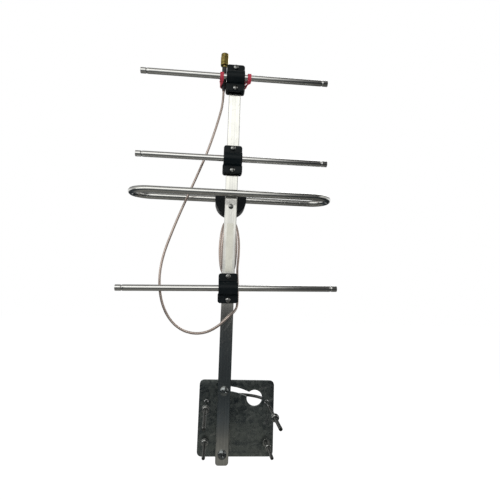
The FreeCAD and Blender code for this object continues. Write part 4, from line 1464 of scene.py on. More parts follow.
@dataclass
class RodClamp:
    """Two-part moulded clamp that holds a rod across the boom."""

    palette: Palette
    name: str
    askew: float
    rod: float = 3.02 * MM
    flange: float = 2.5 * MM
    saddle: float = 6.6 * MM
    fillet: float = 0.7 * MM
    corner: float = 2.5 * MM
    edge: float = 0.45 * MM
    small_edge: float = 0.2 * MM
    channel: float = 6.02 * MM
    foot_height: float = 10.5 * MM
    foot_set_back: float = 0.8 * MM
    top_half: float = 9.2 * MM
    screw: float = 1.5 * MM
    screw_pitch: float = 22.4 * MM
    boss: float = 3.1 * MM
    boss_rise: float = 0.2 * MM
    boss_slope: float = 0.3 * MM
    nut_flats: float = 5.5 * MM
    nut_bore: float = 1.48 * MM

    @property
    def about(self) -> Array:
        """Middle of the rod, which the whole clamp is turned about."""
        return middle_of(self.name + "_rod")

    def build(self) -> None:
        """Builds the cap, the base and the screws and nuts, all askew with the rod."""
        self.fit("cap", self.cap())
        self.fit("base", self.base())
        ScrewSet(self.name + "_clamp_screws", self.palette.zinc, self.screw, 2.0 * MM, 0.5 * MM,
                 (0.25 + len(self.name) * 0.1, 1.0), askew=self.askew, about=self.about).build()
        middle, (low, high) = middle_of(self.name + "_clamp_nuts"), corners_of(self.name + "_clamp_nuts")
        nuts = [hex_nut((middle[0], low[1], middle[2] + side * self.screw_pitch / 2), self.nut_flats,
                        high[1] - low[1], self.nut_bore, turn) for side, turn in ((-1, 0.2), (1, 0.75))]
        dress(self.name + "_clamp_nuts", skewed(nuts, self.about, self.askew), self.palette.zinc, 30)

    def fit(self, part: str, patches: Sequence[Patch]) -> None:
        """Dresses one of the two moulded parts, turned with the rod."""
        turned = skewed(patches, self.about, self.askew)
        dress(f"{self.name}_clamp_{part}", turned, self.palette.clamp, 34, f"{self.name}_{part}")

    def cap(self) -> list[Patch]:
        """Cap as a height over its flange: a half circle about the rod, fillets at its foot, screw bosses.

        The height is h = sqrt(S^2 - z^2) + rise inside the saddle of radius S, and a concave quarter circle
        beside it. Behind, the channel for the rod is a half circle with straight sides.

        Returns:
            The patches.
        """
        low, high = corners_of(self.name + "_clamp_cap")
        half_x, _, half_z = (high - low) / 2
        rod_y, seat_y = self.about[1], high[1]
        face_y, skirt, fillet = seat_y - self.flange, self.saddle, self.fillet
        outside = skirt + np.array([STEP, 0.15 * MM, 0.35 * MM, fillet, 1.1 * MM, 3 * MM, 5 * MM])
        channel = np.array([self.rod, self.rod + STEP])
        rows = np.hstack([np.sin(np.linspace(-1, 1, 41) * math.pi / 2) * skirt,
                          np.linspace(-2.9, 2.9, 17) * MM, outside, -outside, channel, -channel])
        plan = Plan(half_x, half_z, self.corner, self.edge, np.linspace(-0.9, 0.9, 17) * half_x, rows)
        x, z, border = plan.x, plan.z, plan.border()
        away = fillet - np.clip(np.abs(z) - skirt, 0, fillet)
        saddle = np.sqrt(np.maximum(skirt ** 2 - z ** 2, 0)) + max(face_y - rod_y, 0.5 * fillet)
        height = np.where(np.abs(z) <= skirt + 0.5 * STEP, saddle, fillet - np.sqrt(fillet ** 2 - away ** 2))
        front = face_y - height + edge_drop(border, self.edge)
        for side in (-1, 1):
            inside = self.boss - np.hypot(x, z - side * self.screw_pitch / 2)
            front = front + self.boss_rise * np.clip(inside / self.boss_slope, 0, 1)
        bored = rod_y - np.sqrt(np.maximum(self.rod ** 2 - z ** 2, 0))
        seat = seat_y - edge_drop(border, self.small_edge)
        back = np.where(np.abs(z) <= self.rod + 0.5 * STEP, bored, seat)
        return plan.relief((low + high) / 2, front, back)

    def base(self) -> list[Patch]:
        """Base as two reliefs, the main block and the wider foot, each open at the back round the boom.

        Returns:
            The patches.
        """
        low, high = corners_of(self.name + "_clamp_base")
        centre, half = (low + high) / 2, (high - low) / 2
        foot, set_back = self.foot_height / 2, self.foot_set_back
        top = self.block(centre, (self.top_half, half[2]), low[1], high[1])
        return top + self.block((centre[0], 0, low[2] + foot), (half[0], foot), low[1] + set_back, high[1])

    def block(self, centre: Sequence[float], half: Sequence[float], front_y: float,
              back_y: float) -> list[Patch]:
        """One relief with rounded edges and a channel for the boom behind.

        Args:
            centre: Middle of the block.
            half: Half width and half height.
            front_y: Y of the front.
            back_y: Y of the back.

        Returns:
            The patches.
        """
        wall = self.channel
        inner = np.hstack([-wall - STEP, -wall, wall, wall + STEP, np.linspace(-0.9, 0.9, 7) * wall])
        plan = Plan(*half, self.corner, self.edge, inner, np.linspace(-0.7, 0.7, 5) * half[1], wall + STEP)
        border = plan.border()
        behind = back_y - edge_drop(border, self.edge)
        back = np.where(np.abs(plan.x) > wall + 0.5 * STEP, behind, corners_of("boom_tube")[0][1])
        return plan.relief(centre, front_y + edge_drop(border, self.small_edge), back)


@dataclass
class FoldedDipole:
    """Tube bent to a flat loop, open at the middle of its rear bar."""

    palette: Palette
    gap: float = 8.0 * MM
    wall: float = 0.8 * MM
    oval: float = 0.028
    wrinkle: float = 0.012
    wrinkle_length: float = 1.9 * MM
    dent_width: float = 1.1 * MM
    lift: float = 1.6 * MM
    left_reach: float = 21.0 * MM
    right_reach: float = 17.0 * MM
    step: float = 3.0 * MM
    bend_ease: float = 6.0 * MM
    segments: int = 64
    # place from the boom (mm), angle round the bar, depth (mm)
    dents: tuple[Triple, ...] = ((44.0, 1.0, 0.16), (48.5, 0.7, 0.12), (51.0, 1.2, 0.18),
                                 (56.0, 0.9, 0.1), (61.5, 1.1, 0.14))

    def build(self) -> None:
        """Builds the loop as a tube: x = end + reach * cos a, y = middle + bend * sin a in each bend.

        The rear bar stands a little higher than the front one, in proportion to its distance from it.
        """
        low, high = corners_of("folded_dipole")
        centre, radius = (low + high) / 2, (high[2] - low[2]) / 2
        front, rear = low[1] + radius, high[1] - radius
        left_x, right_x = low[0] + radius + self.left_reach, high[0] - radius - self.right_reach
        arc = np.linspace(math.pi / 2, 3 * math.pi / 2, 40)[1:-1]
        bend = centre[1] + (rear - front) / 2 * np.sin(arc)
        parts = [
            level(between(centre[0] - self.gap / 2, left_x, self.step), rear),
            np.column_stack([left_x + self.left_reach * np.cos(arc), bend]),
            level(between(left_x, right_x, self.step), front),
            np.column_stack([right_x - self.right_reach * np.cos(arc), bend])[::-1],
            level(between(right_x, centre[0] + self.gap / 2, self.step), rear)]
        xs, ys = np.vstack(parts).T
        path = np.column_stack([xs, ys, centre[2] + self.lift * ((ys - front) / (rear - front) - 0.2)])
        run = run_of(path)
        starts = np.cumsum([len(part) for part in parts[:4]])
        bends = run[starts].reshape(2, 2)
        bar = slice(starts[1], starts[2])
        middle = np.interp(centre[0], xs[bar], run[bar])

        def pressed(t: Array, s: Array, r: Array) -> Array:
            """The tube is slightly oval and faintly wrinkled in each bend, and its bar has dents.

            Args:
                t: Angle round the tube.
                s: Distance along it.
                r: Radius.

            Returns:
                r * (1 - inside * (oval * cos 2t + wrinkle)) - dents.
            """
            inside, dents = 0.0, 0.0
            for start, stop in bends:
                entry, way_out = (s - start) / self.bend_ease, (stop - s) / self.bend_ease
                inside = inside + np.clip(entry, 0, 1) * np.clip(way_out, 0, 1)
            for at, turn, depth in self.dents:
                ring = dip(s - middle - at * MM, self.dent_width)
                dents = dents + depth * MM * ring * np.exp((np.cos(t - turn) - 1) / 0.06)
            wrinkle = self.wrinkle * np.sin(s / self.wrinkle_length) * np.clip(-np.cos(t), 0, 1) ** 2
            return r * (1 - inside * (self.oval * np.cos(2 * t) + wrinkle)) - dents

        frames = level_frames(path)
        outer = sweep(path, radius, frames, self.segments, shape=pressed)
        inner = sweep(path, radius - self.wall, frames, self.segments)
        rows = [tube.verts.reshape(-1, self.segments, 3) for tube in (outer, inner)]
        rings = [grid(np.stack([rows[0][end], rows[1][end]]), wrap_u=True) for end in (0, -1)]
        dress("folded_dipole", [outer, inner, *rings], self.palette.dipole, name="folded_dipole_tube")


# --- feed box
@dataclass
class FeedBox:
    """Moulded box behind the boom with a flat top and a half-round underside, and its cover."""

    palette: Palette
    radius: float = 15.9 * MM
    edge: float = 0.8 * MM
    seam_edge: float = 0.25 * MM
    top_corner: float = 1.2 * MM
    rib_inset: float = 3.2 * MM
    rib_sunk: float = 0.3 * MM
    rib_proud: float = 0.25 * MM
    collar: float = 2.8 * MM
    flange: float = 0.9 * MM
    neck: float = 2.2 * MM
    cord_hole: float = 1.27 * MM

    def build(self) -> None:
        """Builds the box, the cover, its screws and the grommets, and dresses the inner pieces."""
        palette = self.palette
        front, back = corners_of("feed_box_body")[:, 1]
        body = self.shell("feed_box_body", front, back, self.edge, self.seam_edge)
        dress("feed_box_body", body, palette.box, name="feed_box")
        top = corners_of("feed_box_cover")[1][1]
        lid = self.shell("feed_box_cover", back, top, self.seam_edge, self.edge)
        rib = self.shell("feed_box_cover", top - self.rib_sunk, top + self.rib_proud, 0.05 * MM, 0.2 * MM,
                         self.rib_inset)
        dress("feed_box_cover", lid + rib, palette.box, name="feed_box_lid")
        ScrewSet("feed_box_cover_screws", palette.zinc, 1.25 * MM, 1.5 * MM, 0.45 * MM, (0.4, 0.9),
                 row=Axis.X, from_behind=True).build()
        self.grommets("balun_grommet", 2)
        self.grommets("cable_grommet", 1)
        for node in ("terminal_spacers", "terminal_screws", "feed_box_nut", "dipole_screw"):
            paint(node, palette.zinc)
        paint("terminal_board", palette.board)
        paint("dipole_saddle", palette.box)

    def outline(self, cx: float, top: float, inset: float) -> Array:
        """Closed outline: a half circle below, straight sides and a top with rounded corners.

        Args:
            cx: Middle across.
            top: Height of the top.
            inset: How far the outline is drawn in.

        Returns:
            Array of shape (n, 2).
        """
        r = self.radius - inset
        corner = max(self.top_corner - inset, 0.2 * MM)
        centre = np.array([cx, corners_of("feed_box_body")[0][2] + self.radius])
        shoulder = np.array([r - corner, top - inset - corner - centre[1]])
        below, right = np.linspace(math.pi, TAU, 49), np.linspace(0, math.pi / 2, 9)
        left = right + math.pi / 2
        return centre + np.vstack([
            r * np.column_stack([np.cos(below), np.sin(below)]),
            shoulder + corner * np.column_stack([np.cos(right), np.sin(right)]),
            shoulder * [-1, 1] + corner * np.column_stack([np.cos(left), np.sin(left)])])

    def shell(self, node: str, front: float, back: float, front_edge: float, back_edge: float,
              inset: float = 0.0) -> list[Patch]:
        """Outline carried along Y, drawn in at both ends to round the edges.

        Ring k of an edge lies at depth e * (1 - sin a) with inset e * (1 - cos a).

        Args:
            node: CAD node that gives the middle and the top.
            front: Y of the front.
            back: Y of the back.
            front_edge: Radius of the front edge.
            back_edge: Radius of the back edge.
            inset: How far the whole outline is drawn in.

        Returns:
            The side and the two ends.
        """
        low, high = corners_of(node)
        a = np.linspace(0, math.pi / 2, 6)
        depth, drawn = 1 - np.sin(a), 1 - np.cos(a)
        ys = np.hstack([(front + front_edge * depth)[::-1], back - back_edge * depth])
        insets = inset + np.hstack([(front_edge * drawn)[::-1], back_edge * drawn])
        loops = np.array([self.outline((low[0] + high[0]) / 2, high[2], shrink) for shrink in insets])
        points = np.stack([loops[..., 0], np.broadcast_to(ys[:, None], loops.shape[:2]), loops[..., 1]], -1)
        return [grid(points, wrap_u=True), disc(points[0]), disc(points[-1])]

    def grommets(self, node: str, count: int) -> None:
        """Flanged rubber grommets where the cords enter, with a flared lip.

        Args:
            node: Their CAD node.
            count: One in the middle of the node, or two at its ends.
        """
        low, high = corners_of(node)
        collar, neck, hole, height = self.collar, self.neck, self.cord_hole, high[2] - low[2]
        loop = rounded([
            (0, hole, 0.1 * MM), (0, collar - 0.5 * MM, 0.25 * MM), (self.flange, collar, 0.3 * MM),
            (self.flange + 0.25 * MM, neck, 0.1 * MM), (height, neck, 0.2 * MM), (height, hole, 0.1 * MM)],
            closed=True)
        xs = (low[0] + collar, high[0] - collar) if count == 2 else ((low[0] + high[0]) / 2,)
        patches = [revolve(loop, (x, (low[1] + high[1]) / 2, low[2]), Axis.Z, 40, closed=True) for x in xs]
        dress(node, patches, self.palette.boot, 35)


# --- cords
@dataclass
class CoaxRun:
    """Length of thin coaxial cable along a smooth route through points given in millimetres."""

    palette: Palette
    name: str
    node: str
    points: Sequence[Triple]
    length: float
    far_end: str
    plug: Sequence[Object] = ()
    radius: float = 1.25 * MM
    segments: int = 20
    step: float = 0.45 * MM
    weave: float = 2.1 * MM
    weave_depth: float = 0.012 * MM
    strands: int = 4
    path_every: int = 3

    def route(self) -> Array:
        """Points along the NURBS spline whose control points are the route's.

        Returns:
            Array of shape (n, 3).
        """
        curve = bpy.data.curves.new(self.name + "_route", "CURVE")
        curve.dimensions = "3D"
        curve.resolution_u = 24
        spline = curve.splines.new("NURBS")
        spline.points.add(len(self.points) - 1)
        for point, place in zip(spline.points, np.array(self.points) * MM):
            point.co = (*place, 1.0)
        spline.order_u = 3
        spline.use_endpoint_u = True
        return points_of(mesh_of(curve))

    def build(self) -> None:
        """The route is cut in even steps and each point becomes the mean of its neighbours, the nearest
        counting most.
        """
        line = self.route()
        run = run_of(line)
        stations = between(0, run[-1], self.step)
        path = np.column_stack([np.interp(stations, run, part) for part in line.T])
        kernel = np.array([1, 2, 3, 2, 1]) / 9
        path[4:-4] = np.column_stack([np.convolve(part, kernel, mode="same") for part in path.T])[4:-4]

        def woven(t: Array, s: Array, r: Array) -> Array:
            """The jacket follows the braid below it: two crossed helical waves, a few microns deep."""
            first, second = (np.cos(TAU * s / self.weave + side * self.strands * t) for side in (1, -1))
            return r - self.weave_depth * (1 - np.maximum(first, second))

        tube = sweep(path, self.radius, carried_frames(path), self.segments, shape=woven)
        piece = dress(self.node, capped(tube, self.segments), self.palette.coax, 60, self.name)


BALUN_ROUTE = [
    (-16.6, 6.0, 199.6), (-16.6, 6.0, 192.0), (-18.6, 5.4, 181.5), (-19.6, 5.0, 170.0),
    (-19.8, 5.2, 158.6), (-18.9, 6.0, 146.6), (-15.6, 6.6, 141.0), (-9.6, 6.2, 141.0),
    (-6.3, 5.2, 146.6), (-5.3, 3.4, 158.6), (-5.0, 3.0, 170.0), (-6.2, 4.2, 181.5),
    (-8.6, 6.0, 192.0), (-8.6, 6.0, 199.6),
]
CABLE_ROUTE = [
    (-12.6, 12.0, 199.6), (-12.6, 12.0, 191.0), (-9.0, 11.0, 178.0), (-6.4, 10.4, 164.0),
    (-5.8, 10.6, 151.6), (-7.1, 11.2, 144.6), (-10.3, 12.0, 140.2), (-16.0, 12.8, 140.2),
    (-19.2, 13.6, 144.8), (-20.8, 14.0, 152.4), (-21.9, 14.2, 163.4), (-21.7, 15.0, 176.0),
    (-20.4, 16.6, 187.6), (-18.0, 17.6, 196.4), (-12.2, 17.9, 199.2), (-6.4, 17.6, 196.4),
    (-3.8, 16.4, 188.0), (-2.1, 14.4, 177.0), (-1.8, 12.2, 166.0), (-2.4, 9.4, 155.4),
    (-3.3, 5.6, 146.0), (-3.1, 0.4, 137.0), (-2.6, -4.0, 127.0), (-2.6, -5.6, 117.6),
    (-2.8, -8.2, 109.0), (-5.0, -14.2, 104.4), (-9.4, -18.0, 100.4), (-15.0, -18.6, 94.8),
    (-22.4, -18.0, 88.4), (-31.6, -16.8, 83.4), (-43.4, -15.4, 81.8),
    (-55.8, -14.0, 85.2), (-66.4, -12.9, 93.8), (-74.0, -12.4, 106.8), (-78.0, -12.2, 122.6),
    (-78.8, -11.8, 139.6), (-76.0, -10.2, 158.2), (-70.3, -8.0, 177.4), (-63.6, -5.6, 198.0),
    (-56.0, -4.0, 218.4), (-47.8, -4.8, 239.4), (-39.6, -6.6, 260.6), (-33.2, -7.2, 281.2),
    (-28.0, -6.9, 301.6), (-24.4, -6.6, 318.6), (-24.4, -6.6, 332.0),
]


# --- plug
@dataclass
class Plug:
    """Gold coaxial plug with a heat-shrunk boot and a turning coupling nut."""

    palette: Palette
    boot_tip: float = 1.62 * MM
    boot_swell: float = 0.86 * MM
    boot_taper: float = 5.5 * MM
    pin_hole: float = 0.66 * MM
    pin: float = 0.64 * MM
    socket: float = 0.48 * MM
    socket_depth: float = 3.0 * MM
    flats: float = 8.0 * MM
    turn: float = math.radians(23.0)
    hex_height: float = 9.2 * MM
    line_places: tuple[float, float] = (1.7 * MM, 2.7 * MM)
    line_depth: float = 0.32 * MM
    line_width: float = 0.2 * MM
    groove: float = 3.55 * MM
    ring: float = 3.9 * MM
    bore: float = 3.175 * MM
    relief_bore: float = 3.35 * MM
    rear_bore: float = 2.75 * MM
    rear_depth: float = 7.0 * MM
    thread_pitch: float = 0.706 * MM
    thread_depth: float = 0.3 * MM
    thread_length: float = 3.2 * MM
    face: float = 0.97
    face_slope: float = 1.4
    blunt: float = 0.1 * MM

    def build(self) -> list[Object]:
        """Builds the boot, body, insulator, contact and nut.

        Returns:
            The pieces, for the cord that they end.
        """
        gold = self.palette.gold
        low, high = corners_of("cable_boot")[:, 2]
        boot = self.turned("cable_boot", "plug_boot", self.boot_profile(low, high), self.palette.boot,
                           self.wrinkled)
        core = self.turned("plug_body", "plug_core", self.core_profile(high), gold)
        low, high = corners_of("plug_insulator")[:, 2]
        sleeve = self.turned("plug_insulator", "plug_sleeve", rounded([
            (low, self.pin_hole, 0), (low, 2.0 * MM, 0), (high, 2.0 * MM, 0.2 * MM),
            (high, self.pin_hole, 0.1 * MM)], 3, True), self.palette.ptfe, closed=True)
        low, high = corners_of("plug_contact")[:, 2]
        contact = self.turned("plug_contact", "plug_contact_tube", rounded([
            (low, 0, 0), (low, self.pin, 0), (high, self.pin, 0.1 * MM), (high, self.socket, 0.05 * MM),
            (high - self.socket_depth, self.socket, 0), (high - self.socket_depth, 0, 0)], 3), gold)
        return [boot, core, sleeve, contact, self.nut()]

    def turned(self, node: str, name: str, profile: Array, coat: Coat, shape: Optional[Shape] = None,
               closed: bool = False, segments: int = 64, crease: float = 35,
               body: Body = Body.BOOM) -> Object:
        """Piece turned about the plug's axis from a profile of (height, radius)."""
        patch = revolve(profile, middle_of("cable_boot") * [1, 1, 0], Axis.Z, segments, closed, shape)
        return dress(node, [patch], coat, crease, name, body)

    def boot_profile(self, low: float, high: float) -> Array:
        """Sleeve that tapers to the cable below and turns in over the collar above.

        Args:
            low: Height of the lower end.
            high: Height of the upper end.

        Returns:
            Rows of (height, radius), with r = tip + swell * (3u^2 - 2u^3) over the taper.
        """
        s = between(low, high, 0.35 * MM)
        u = np.clip((s - low) / self.boot_taper, 0, 1)
        r = self.boot_tip + self.boot_swell * (3 * u ** 2 - 2 * u ** 3) - edge_drop(high - s, 0.5 * MM) * 0.6
        return np.vstack([[[low, 0.0], [low, 1.5 * MM]], np.column_stack([s, r]), [[high, 0.0]]])

    @staticmethod
    def wrinkled(t: Array, s: Array, r: Array) -> Array:
        """Shrunk film: low waves round and along the sleeve, none at its ends."""
        wave = 0.035 * np.sin(s / (1.3 * MM) + 1.3 * np.sin(t)) + 0.03 * np.cos(3 * t + s / (3.1 * MM))
        return np.where(r > 1.5 * MM, r + wave * MM, r)

    @staticmethod
    def core_profile(foot: float) -> Array:
        """Rows of (height, radius) of the collar, the neck, the flange and the barrel above a foot."""
        corners = [(-0.2, 0.0, 0), (-0.2, 2.3, 0), (0.0, 2.5, 0.05), (1.5, 2.5, 0.2), (1.5, 2.7, 0),
                   (8.9, 2.7, 0), (8.9, 3.0, 0.1), (9.9, 3.0, 0.15), (9.9, 2.3, 0.05), (11.4, 2.3, 0.12),
                   (11.4, 2.02, 0.05), (9.0, 2.02, 0), (9.0, 0.0, 0)]
        return rounded(np.array(corners) * MM) + [foot, 0.0]

    def nut(self) -> Object:
        """Coupling nut: a hexagon with two turned lines, a waist and a ring with an inner thread.

        The hexagon's radius is cut by cones at its ends and by the shallow lines.

        Returns:
            The piece.
        """
        base, mouth = corners_of("coupling_nut")[:, 2]
        flat, hex_top, ring, bore = self.flats / 2, base + self.hex_height, self.ring, self.bore
        corner = flat / math.cos(SIXTH / 2)
        thread = ThreadForm(self.thread_pitch, self.thread_depth, mouth - 3.0 * MM, mouth - 0.3 * MM)

        def cut(t: Array, s: Array, r: Array) -> Array:
            """Outer radii cut to the hexagon, its cones and lines; the mouth's bore cut by the thread.

            Args:
                t: Angle.
                s: Height.
                r: Radius.

            Returns:
                The radius.
            """
            cone = flat * self.face + self.face_slope * np.minimum(s - base, hex_top - s)
            shaped = np.minimum(hexagon(t - self.turn, flat, corner - self.blunt), cone)
            line = sum(self.line_depth * np.exp(-(((s - base - place) / self.line_width) ** 4))
                       for place in self.line_places)
            shaped = np.where(line > 0.05 * MM, np.minimum(shaped, corner * 0.92 - line), shaped)
            threaded = (s > mouth - self.thread_length) & (r < 3.3 * MM) & (r > 3.0 * MM)
            inside = np.where(threaded, np.maximum(thread(t, s, np.full_like(r, bore)), r - 0.25 * MM), r)
            return np.where(r > 4.5 * MM, shaped, inside)

        hex_s = np.hstack([np.array([0, 0.08, 0.2, 0.4, 0.7, 1.1]), between(1.4, 3.1, 0.08),
                           between(3.5, 8.2, 0.6), [8.5, 8.8, 9.0, 9.12, 9.2]]) * MM + base
        step, lip = hex_top + 0.5 * MM, 0.05 * MM
        crown = rounded([(hex_top, self.groove, 0), (step, self.groove, lip), (step, ring, 0.2 * MM),
                         (hex_top + 1.9 * MM, ring, lip), (hex_top + 2.05 * MM, ring - 0.22 * MM, lip),
                         (hex_top + 2.2 * MM, ring, lip), (mouth, ring, 0.35 * MM),
                         (mouth, bore + 0.3 * MM, 0.1 * MM)])
        inner = between(mouth - 0.3 * MM, mouth - self.thread_length, 0.1 * MM)
        profile = np.vstack([
            [[base, 3.4 * MM]], level(hex_s, corner), [[hex_top, self.groove + lip]], crown,
            level(inner, bore), [[mouth - self.thread_length, self.relief_bore],
                                 [base + self.rear_depth, self.relief_bore],
                                 [base + self.rear_depth, self.rear_bore], [base, self.rear_bore]]])
        return self.turned("coupling_nut", "", profile, self.palette.gold, cut, True, 96, 30,
                           Body.COUPLING_NUT)


# --- elastic band
@dataclass
class ElasticBand:
    """Flat red band hooked over the upper director on both sides of its clamp."""

    palette: Palette
    width: float = 3.7 * MM
    thickness: float = 1.15 * MM
    corner: float = 0.42 * MM
    lap: float = 3.65
    hook: float = 14.0
    stand_off: float = 0.62
    rib_pitch: float = 0.45 * MM
    rib_height: float = 0.06 * MM
    per_span: int = 8

    def stations(self) -> tuple[Array, Array]:
        """Points of the closed band, from behind the boom round both hooks; upper half, then its mirror.

        The rows are (x, y, z, and the outward direction), in millimetres from the boom's middle, the
        frame's origin and the rod.

        Returns:
            The points in metres and the outward directions.
        """
        rod, boom = middle_of("director_2_rod"), corners_of("boom_tube")
        rod_y, back = rod[1] / MM, boom[1][1] / MM + self.stand_off
        left = np.array([
            (0, back + 0.1, 2.45, 0, 1, 0), (-5.7, back, 2.5, -0.15, 1, 0),
            (-11.6, -3.0, 2.5, -0.2, 1, 0), (-14.3, -4.0, 2.5, -0.7, 0.7, 0),
            (-15.4, -6.8, 2.6, -1, 0.1, 0), (-15.2, -11.0, 2.9, -0.9, 0, 0.4),
            (-14.5, -15.6, 3.45, -0.25, 0, 1), (-14.0, rod_y + 1.2, 3.66, 0, 0.05, 1)])
        right = np.array([
            (5.7, back, 2.5, 0.15, 1, 0), (8.6, -3.6, 2.5, 0.8, 0.5, 0),
            (10.9, -7.2, 2.6, 1, 0.1, 0), (12.4, -11.4, 2.9, 0.9, 0, 0.4),
            (13.6, -15.6, 3.45, 0.25, 0, 1), (14.0, rod_y + 1.2, 3.66, 0, 0.05, 1)])
        mirror = [1, 1, -1, 1, 1, -1]
        turn = np.linspace(math.pi / 2 - 0.1, 0.1 - math.pi / 2, 9)
        zero, cos, sin = np.zeros_like(turn), np.cos(turn), np.sin(turn)
        lap = np.column_stack([zero, rod_y - self.lap * cos, self.lap * sin, zero, -cos, sin])
        hook = np.array([self.hook, 0, 0, 0, 0, 0])
        track = np.vstack([left, lap - hook, (left * mirror)[::-1],
                           right * mirror, (lap + hook)[::-1], right[::-1]])
        return track[:, :3] * MM + [boom[:, 0].mean(), 0, rod[2]], unit(track[:, 3:])

    def smooth_loop(self, values: Array) -> Array:
        """Closed Catmull-Rom curve through the values.

        Args:
            values: Array of shape (n, 3).

        Returns:
            Array of shape (n * points per span, 3).
        """
        p0, p1, p2, p3 = (np.roll(values, k, 0)[:, None, :] for k in (1, 0, -1, -2))
        t = np.linspace(0, 1, self.per_span, endpoint=False)[None, :, None]
        out = 0.5 * (2 * p1 + (p2 - p0) * t + (2 * p0 - 5 * p1 + 4 * p2 - p3) * t ** 2
                     + (3 * p1 - p0 - 3 * p2 + p3) * t ** 3)
        return out.reshape(-1, values.shape[1])

    def build(self) -> None:
        """Carries a rounded flat section with fine ribs along the path: path + x * across + y * normal."""
        path, normal = map(self.smooth_loop, self.stations())
        along = tangents(path, closed=True)
        normal = unit(normal - along * (normal * along).sum(1, keepdims=True))
        across = np.cross(along, normal)
        r, w, t = self.corner, self.width / 2, self.thickness / 2
        x, y = rounded([(-w, -t, r), (w, -t, r), (w, t, r), (-w, t, r)], 5, True).T
        y = y + self.rib_height * np.cos(x / self.rib_pitch) * (np.abs(y) > t * 0.98) * np.sign(y)
        points = path[:, None] + x[:, None] * across[:, None] + y[:, None] * normal[:, None]
        dress("elastic_band", [grid(points, wrap_u=True, wrap_v=True)], self.palette.band, 50)


